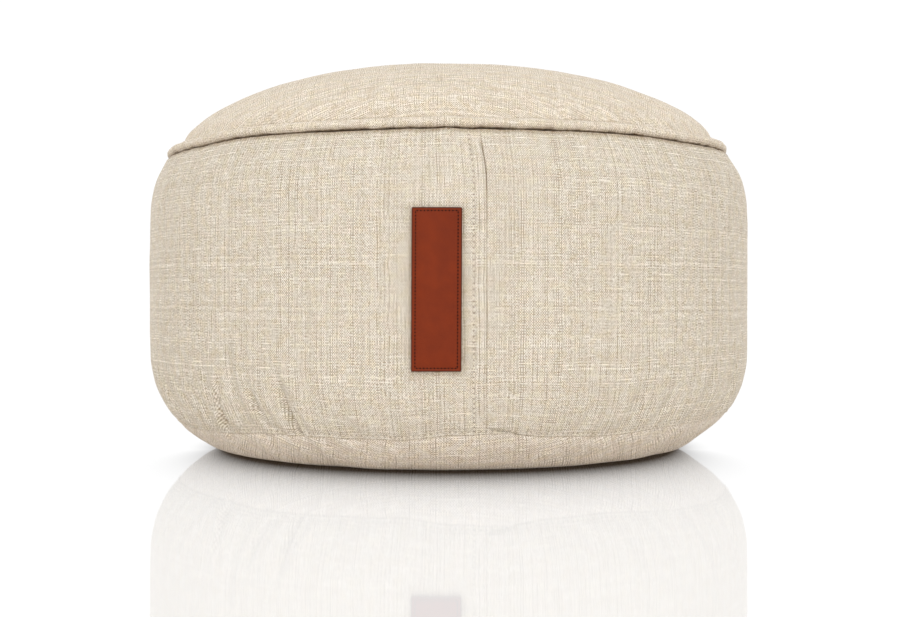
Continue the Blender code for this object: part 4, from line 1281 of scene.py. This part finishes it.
def hole_mask(bench, group, across, along, pitch, size):
    """Holes at whole pitches along a row."""
    node = bench.add("ShaderNodeGroup", node_tree=group)
    centred = bench.sum("ADD", along, pitch / 2.0)
    for key, value in (("Across", across), ("Along", centred), ("Pitch", pitch), ("Size", size)):
        bench.feed(node.inputs[key], value)
    return node.outputs["Mask"]


def side_holes(group):
    """The side band's needle holes: one row beside the vertical seam, one along the lower edge."""
    def rows(bench, cloth):
        x, y = bench.parted(cloth)
        from_seam = bench.sum("SUBTRACT", x, math.radians(TOPSTITCH_ANGLE + 360.0) * RADIUS)
        from_foot = bench.sum("SUBTRACT", y, FOOT_STITCH_RISE * 1.25)
        foot_pitch = 2.0 * math.pi * RADIUS / FOOT_STITCHES
        made = []
        for across, along, pitch, drawn in (
            (from_seam, y, TOPSTITCH_PITCH, 1.0),
            (from_foot, x, foot_pitch, 0.6),
        ):
            mask = hole_mask(bench, group, across, along, pitch, SEAM_HOLE_SIZE)
            made.append(bench.sum("MULTIPLY", mask, drawn))
        return made

    return rows


def label_holes(bench, group, x, y):
    """Needle holes round the label, the same on both sides and at both ends."""
    long_pitch = 2.0 * LABEL_ROW_UP / LABEL_STITCHES_UP
    short_pitch = 2.0 * LABEL_ROW_ACROSS / LABEL_STITCHES_ACROSS
    from_side = bench.sum("SUBTRACT", bench.sum("ABSOLUTE", x), LABEL_ROW_ACROSS)
    from_end = bench.sum("SUBTRACT", bench.sum("ABSOLUTE", y), LABEL_ROW_UP)
    masks = []
    for across, past_end, along, pitch in (
        (from_side, from_end, bench.sum("ADD", y, LABEL_ROW_UP), long_pitch),
        (from_end, from_side, bench.sum("ADD", x, LABEL_ROW_ACROSS), short_pitch),
    ):
        mask = hole_mask(bench, group, across, along, pitch, LABEL_HOLE_SIZE)
        masks.append(bench.sum("MULTIPLY", mask, bench.sum("LESS_THAN", past_end, 0.0006)))
    return bench.sum("MAXIMUM", *masks)


def new_material(name):
    """A material with its bench and its Principled shader."""
    material = bpy.data.materials.new(name)
    material.use_nodes = True
    bench = Bench(material.node_tree)
    shader = material.node_tree.nodes["Principled BSDF"]
    return material, bench, shader


def raking_light_contrast(bench, cloth):
    """How strongly the weave shows on the side, as painted raking light: more towards the left and right,
    and near the foot.
    """
    x, y = bench.parted(cloth)
    twice_round = bench.sum("MULTIPLY", x, 2.0 / RADIUS)
    round_side = bench.sum("MULTIPLY_ADD", bench.sum("COSINE", twice_round), -0.20, 1.20)
    near_foot = bench.stepped(y, 0.100, 0.020)
    return bench.sum("MULTIPLY_ADD", near_foot, 0.22, round_side)


def weave_material(name, weave, yarns, holes=None, contrast=None, **changes):
    """Slub cloth of mid, pale and tan yarn.

    holes adds rows of needle holes, contrast varies the weave's, and changes set its other inputs."""
    material, bench, shader = new_material(name)
    cloth = bench.add("ShaderNodeUVMap", uv_map="cloth_place").outputs[0]
    # The painted shade that each piece carries at its points.
    painted_shade = bench.add("ShaderNodeAttribute", attribute_name="painted_shade").outputs["Fac"]
    woven = bench.add("ShaderNodeGroup", node_tree=weave)
    inputs = dict(zip(("Mid Yarn", "Pale Yarn", "Tan Yarn"), yarns))
    inputs.update({"Cloth Place": cloth, "Painted Shade": painted_shade})
    if contrast:
        inputs["Contrast"] = contrast(bench, cloth)
    for key, value in {**inputs, **changes}.items():
        bench.feed(woven.inputs[key], value)
    colour = woven.outputs["Color"]
    height = woven.outputs["Height"]
    if holes:
        for row in holes(bench, cloth):
            # Painted shade in each needle hole, which is also pressed in.
            colour = bench.blend(bench.sum("MULTIPLY", row, 0.8), colour, NEEDLE_HOLE_SHADE, "MULTIPLY")
            height = bench.sum("SUBTRACT", height, row)
    bump = bench.add("ShaderNodeBump", {"Height": height, "Strength": 1.0, "Distance": WEAVE_RELIEF})
    bench.feed(shader.inputs["Base Color"], colour)
    bench.feed(shader.inputs["Roughness"], woven.outputs["Roughness"])
    bench.feed(shader.inputs["Normal"], bump.outputs[0])
    shader.inputs["Specular IOR Level"].default_value = 0.25
    shader.inputs["Sheen Weight"].default_value = 0.20
    shader.inputs["Sheen Roughness"].default_value = 0.22
    shader.inputs["Sheen Tint"].default_value = SHEEN_TINT
    return material


def leather_material(hole_group):
    """Smooth dyed leather with a fine grain, dark burnished edges and a drier, paler middle."""
    material, bench, shader = new_material("red brown leather")
    cloth = bench.add("ShaderNodeUVMap", uv_map="cloth_place").outputs[0]
    x, y = bench.parted(cloth)
    m = bench.sum
    side = m("SUBTRACT", LABEL_WIDTH / 2.0, m("ABSOLUTE", x))
    ends = m("SUBTRACT", LABEL_HEIGHT / 2.0, m("ABSOLUTE", y))
    edge = m("MINIMUM", side, ends)
    cells = bench.add("ShaderNodeTexVoronoi", {"Vector": cloth, "Scale": PEBBLE_SCALE, "Randomness": 1.0},
                      voronoi_dimensions="2D", feature="DISTANCE_TO_EDGE")
    pebbles = bench.stepped(cells.outputs["Distance"], 0.0, 0.22)
    powder = bench.noise(cloth, POWDER_SCALE, 2.0)
    mottle = bench.noise(cloth, MOTTLE_SCALE, 3.0, 0.6)
    cloudy = bench.noise(cloth, CLOUD_SCALE, 2.0, 0.55)
    tone = m("ADD", m("MULTIPLY_ADD", mottle, 0.9, -0.45), m("MULTIPLY_ADD", cloudy, 1.0, -0.5))
    colour = bench.blend(m("ADD", m("MULTIPLY", tone, 0.7), 0.5), LEATHER_DARK, LEATHER_PALE)
    groove = bench.stepped(pebbles, 1.0, 0.0)
    colour = bench.blend(m("MULTIPLY", groove, 0.40), colour, LEATHER_GROOVE, "MULTIPLY")
    burnished = bench.stepped(edge, 0.00130, 0.0004)
    colour = bench.blend(m("MULTIPLY", burnished, 0.75), colour, LEATHER_BURNISHED)
    pricks = label_holes(bench, hole_group, x, y)
    # Painted shade in the needle holes round the label.
    colour = bench.blend(m("MULTIPLY", pricks, 0.85), colour, LEATHER_HOLE_SHADE)
    pricked = m("MULTIPLY_ADD", pricks, -2.0, m("MULTIPLY", powder, 0.3))
    height = m("ADD", m("MULTIPLY", pebbles, 0.7), pricked)
    bump = bench.add("ShaderNodeBump", {"Height": height, "Strength": 0.5, "Distance": LEATHER_RELIEF})
    bench.feed(shader.inputs["Base Color"], colour)
    bench.feed(shader.inputs["Roughness"], m("MULTIPLY_ADD", mottle, 0.18, 0.42))
    bench.feed(shader.inputs["Normal"], bump.outputs[0])
    shader.inputs["Specular IOR Level"].default_value = 0.09
    return material


def thread_material(name, colour, dark):
    """Twisted sewing thread: its colour, and a darker one painted as the shade between its strands."""
    material, bench, shader = new_material(name)
    where = bench.add("ShaderNodeTexCoord").outputs["Object"]
    fibre = bench.add("ShaderNodeTexNoise", {"Vector": where, "Scale": FIBRE_SCALE, "Detail": 2.0})
    fibre = fibre.outputs["Fac"]
    bench.feed(shader.inputs["Base Color"], bench.blend(bench.stepped(fibre, 0.3, 0.7), dark, colour))
    bump = bench.add("ShaderNodeBump", {"Height": fibre, "Strength": 0.6, "Distance": THREAD_RELIEF})
    bench.feed(shader.inputs["Normal"], bump.outputs[0])
    shader.inputs["Roughness"].default_value = 0.75
    shader.inputs["Specular IOR Level"].default_value = 0.12
    return material


# ================================================================ the picture
def floor_openness(bench, where, from_middle):
    """A painted shadow on the floor: 0 where it is painted darkest round the footstool, 1 in the open; it
    clears fastest at the sides.
    """
    m = bench.sum
    depth = bench.add("ShaderNodeSeparateXYZ", {0: where}).outputs[1]
    facing = m("MAXIMUM", m("DIVIDE", m("ABSOLUTE", depth), from_middle), 0.2)
    away = m("DIVIDE", m("MAXIMUM", m("SUBTRACT", from_middle, SHADE_START), 0.0), SHADE_REACH)
    dark = m("EXPONENT", m("MULTIPLY", m("POWER", m("DIVIDE", away, facing), 1.3), -1.0))
    return m("SUBTRACT", 1.0, dark)


def make_floor():
    """A pale glossy floor: what the camera sees of it, with a painted shadow round the footstool, and the
    glow it sends up at the cloth.
    """
    bpy.ops.mesh.primitive_plane_add(size=120.0, location=(0.0, 0.0, -0.0002))
    floor = bpy.context.object
    floor.name = "floor"
    material, bench, shader = new_material("pale floor")
    shader.inputs["Base Color"].default_value = (0.84, 0.84, 0.84, 1.0)
    shader.inputs["Roughness"].default_value = 0.6
    shader.inputs["Specular IOR Level"].default_value = 0.0
    shader.inputs["Emission Color"].default_value = FLOOR_GLOW_COLOUR
    where = bench.add("ShaderNodeNewGeometry").outputs["Position"]
    from_middle = bench.add("ShaderNodeVectorMath", {0: where}, operation="LENGTH").outputs["Value"]
    glow = bench.sum("MULTIPLY", bench.stepped(from_middle, GLOW_START, GLOW_FULL), FLOOR_GLOW)
    bench.feed(shader.inputs["Emission Strength"], glow)
    shade = bench.blend(floor_openness(bench, where, from_middle), FLOOR_SHADED, FLOOR_OPEN)
    seen = bench.add("ShaderNodeEmission", {"Color": shade, "Strength": 1.0}).outputs[0]
    mirrored = bench.add("ShaderNodeBsdfAnisotropic", {"Roughness": 0.04}).outputs[0]
    seen = bench.add("ShaderNodeMixShader", {0: FLOOR_GLOSS, 1: seen, 2: mirrored}).outputs[0]
    for_camera = bench.add("ShaderNodeLightPath").outputs["Is Camera Ray"]
    both = bench.add("ShaderNodeMixShader", {0: for_camera, 1: shader.outputs[0], 2: seen}).outputs[0]
    bench.feed(material.node_tree.nodes["Material Output"].inputs["Surface"], both)
    floor.data.materials.append(material)
    return floor


def add_light(name, azimuth, elevation, spread_angle, strength):
    """A wide soft light that shines from an azimuth (0 is the camera's side) and elevation."""
    data = bpy.data.lights.new(name, "SUN")
    data.angle, data.energy = math.radians(spread_angle), strength
    light = bpy.data.objects.new(name, data)
    bpy.context.scene.collection.objects.link(light)
    light.rotation_euler = (math.radians(90.0 - elevation), 0.0, math.radians(azimuth))


def make_picture():
    """The white room, the lights and the camera."""
    scene = bpy.context.scene
    scene.view_settings.view_transform = "Standard"
    world = bpy.data.worlds.new("white studio")
    scene.world = world
    world.use_nodes = True
    bench = Bench(world.node_tree)
    sky = world.node_tree.nodes["Background"]
    onto_cloth = bench.add("ShaderNodeLightPath").outputs["Is Diffuse Ray"]
    bench.feed(sky.inputs["Color"], bench.blend(onto_cloth, (1.0, 1.0, 1.0, 1.0), FILL_COLOUR))
    strength = bench.sum("MULTIPLY_ADD", onto_cloth, FILL_LIGHT - ROOM_LIGHT, ROOM_LIGHT)
    bench.feed(sky.inputs["Strength"], strength)
    for light in LIGHTS:
        add_light(*light)
    camera_data = bpy.data.cameras.new("camera")
    camera_data.lens = CAMERA_LENS
    camera_data.sensor_width = 36.0
    camera_data.shift_y = CAMERA_SHIFT_UP
    camera_data.clip_start = 0.01
    camera = bpy.data.objects.new("camera", camera_data)
    scene.collection.objects.link(camera)
    camera.location = CAMERA_PLACE
    camera.rotation_euler = (math.radians(90.0), 0.0, 0.0)
    scene.camera = camera


# ================================================================ the footstool
weave = build_slub_weave()
hole_group = build_needle_holes()
side_weave = weave_material("slub cloth", weave, SLUB_YARNS, side_holes(hole_group), raking_light_contrast)
crown_weave = weave_material("slub cloth of the crown", weave, CROWN_YARNS_PAINTED_LIGHTER, **CROWN_WEAVE)
welt_weave = weave_material("slub cloth of the welt", weave, CROWN_YARNS_PAINTED_LIGHTER)
base_weave = weave_material("slub cloth of the base", weave, BASE_YARNS_PAINTED_LIGHTER, **BASE_WEAVE)
leather = leather_material(hole_group)
cream_thread = thread_material("cream thread", *CREAM_THREAD)
dark_thread = thread_material("dark red brown thread", *DARK_THREAD)

stitching = stitch_tree()
PIECES = (
    (make_side_band(side_weave), "side_band", "cloth", 0.9),
    (make_crown(crown_weave), "top_panel", "cloth", 0.9),
    (make_base(base_weave), "base_panel", "base_cloth", 0.9),
    (make_welt(welt_weave), "top_welt", "welt_cloth", None),
    (make_label(leather), "leather_label", "label_leather", None),
)
for piece, node, slot, fill in PIECES:
    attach(piece, "root")
    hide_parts(node)
for piece, slot in (
    (sew_side_seam(stitching, cream_thread), "cloth"),
    (sew_foot_seam(stitching, cream_thread), "cloth"),
    (sew_label(stitching, dark_thread), "label_leather"),
):
    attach(piece, "root")

make_floor()
make_picture()
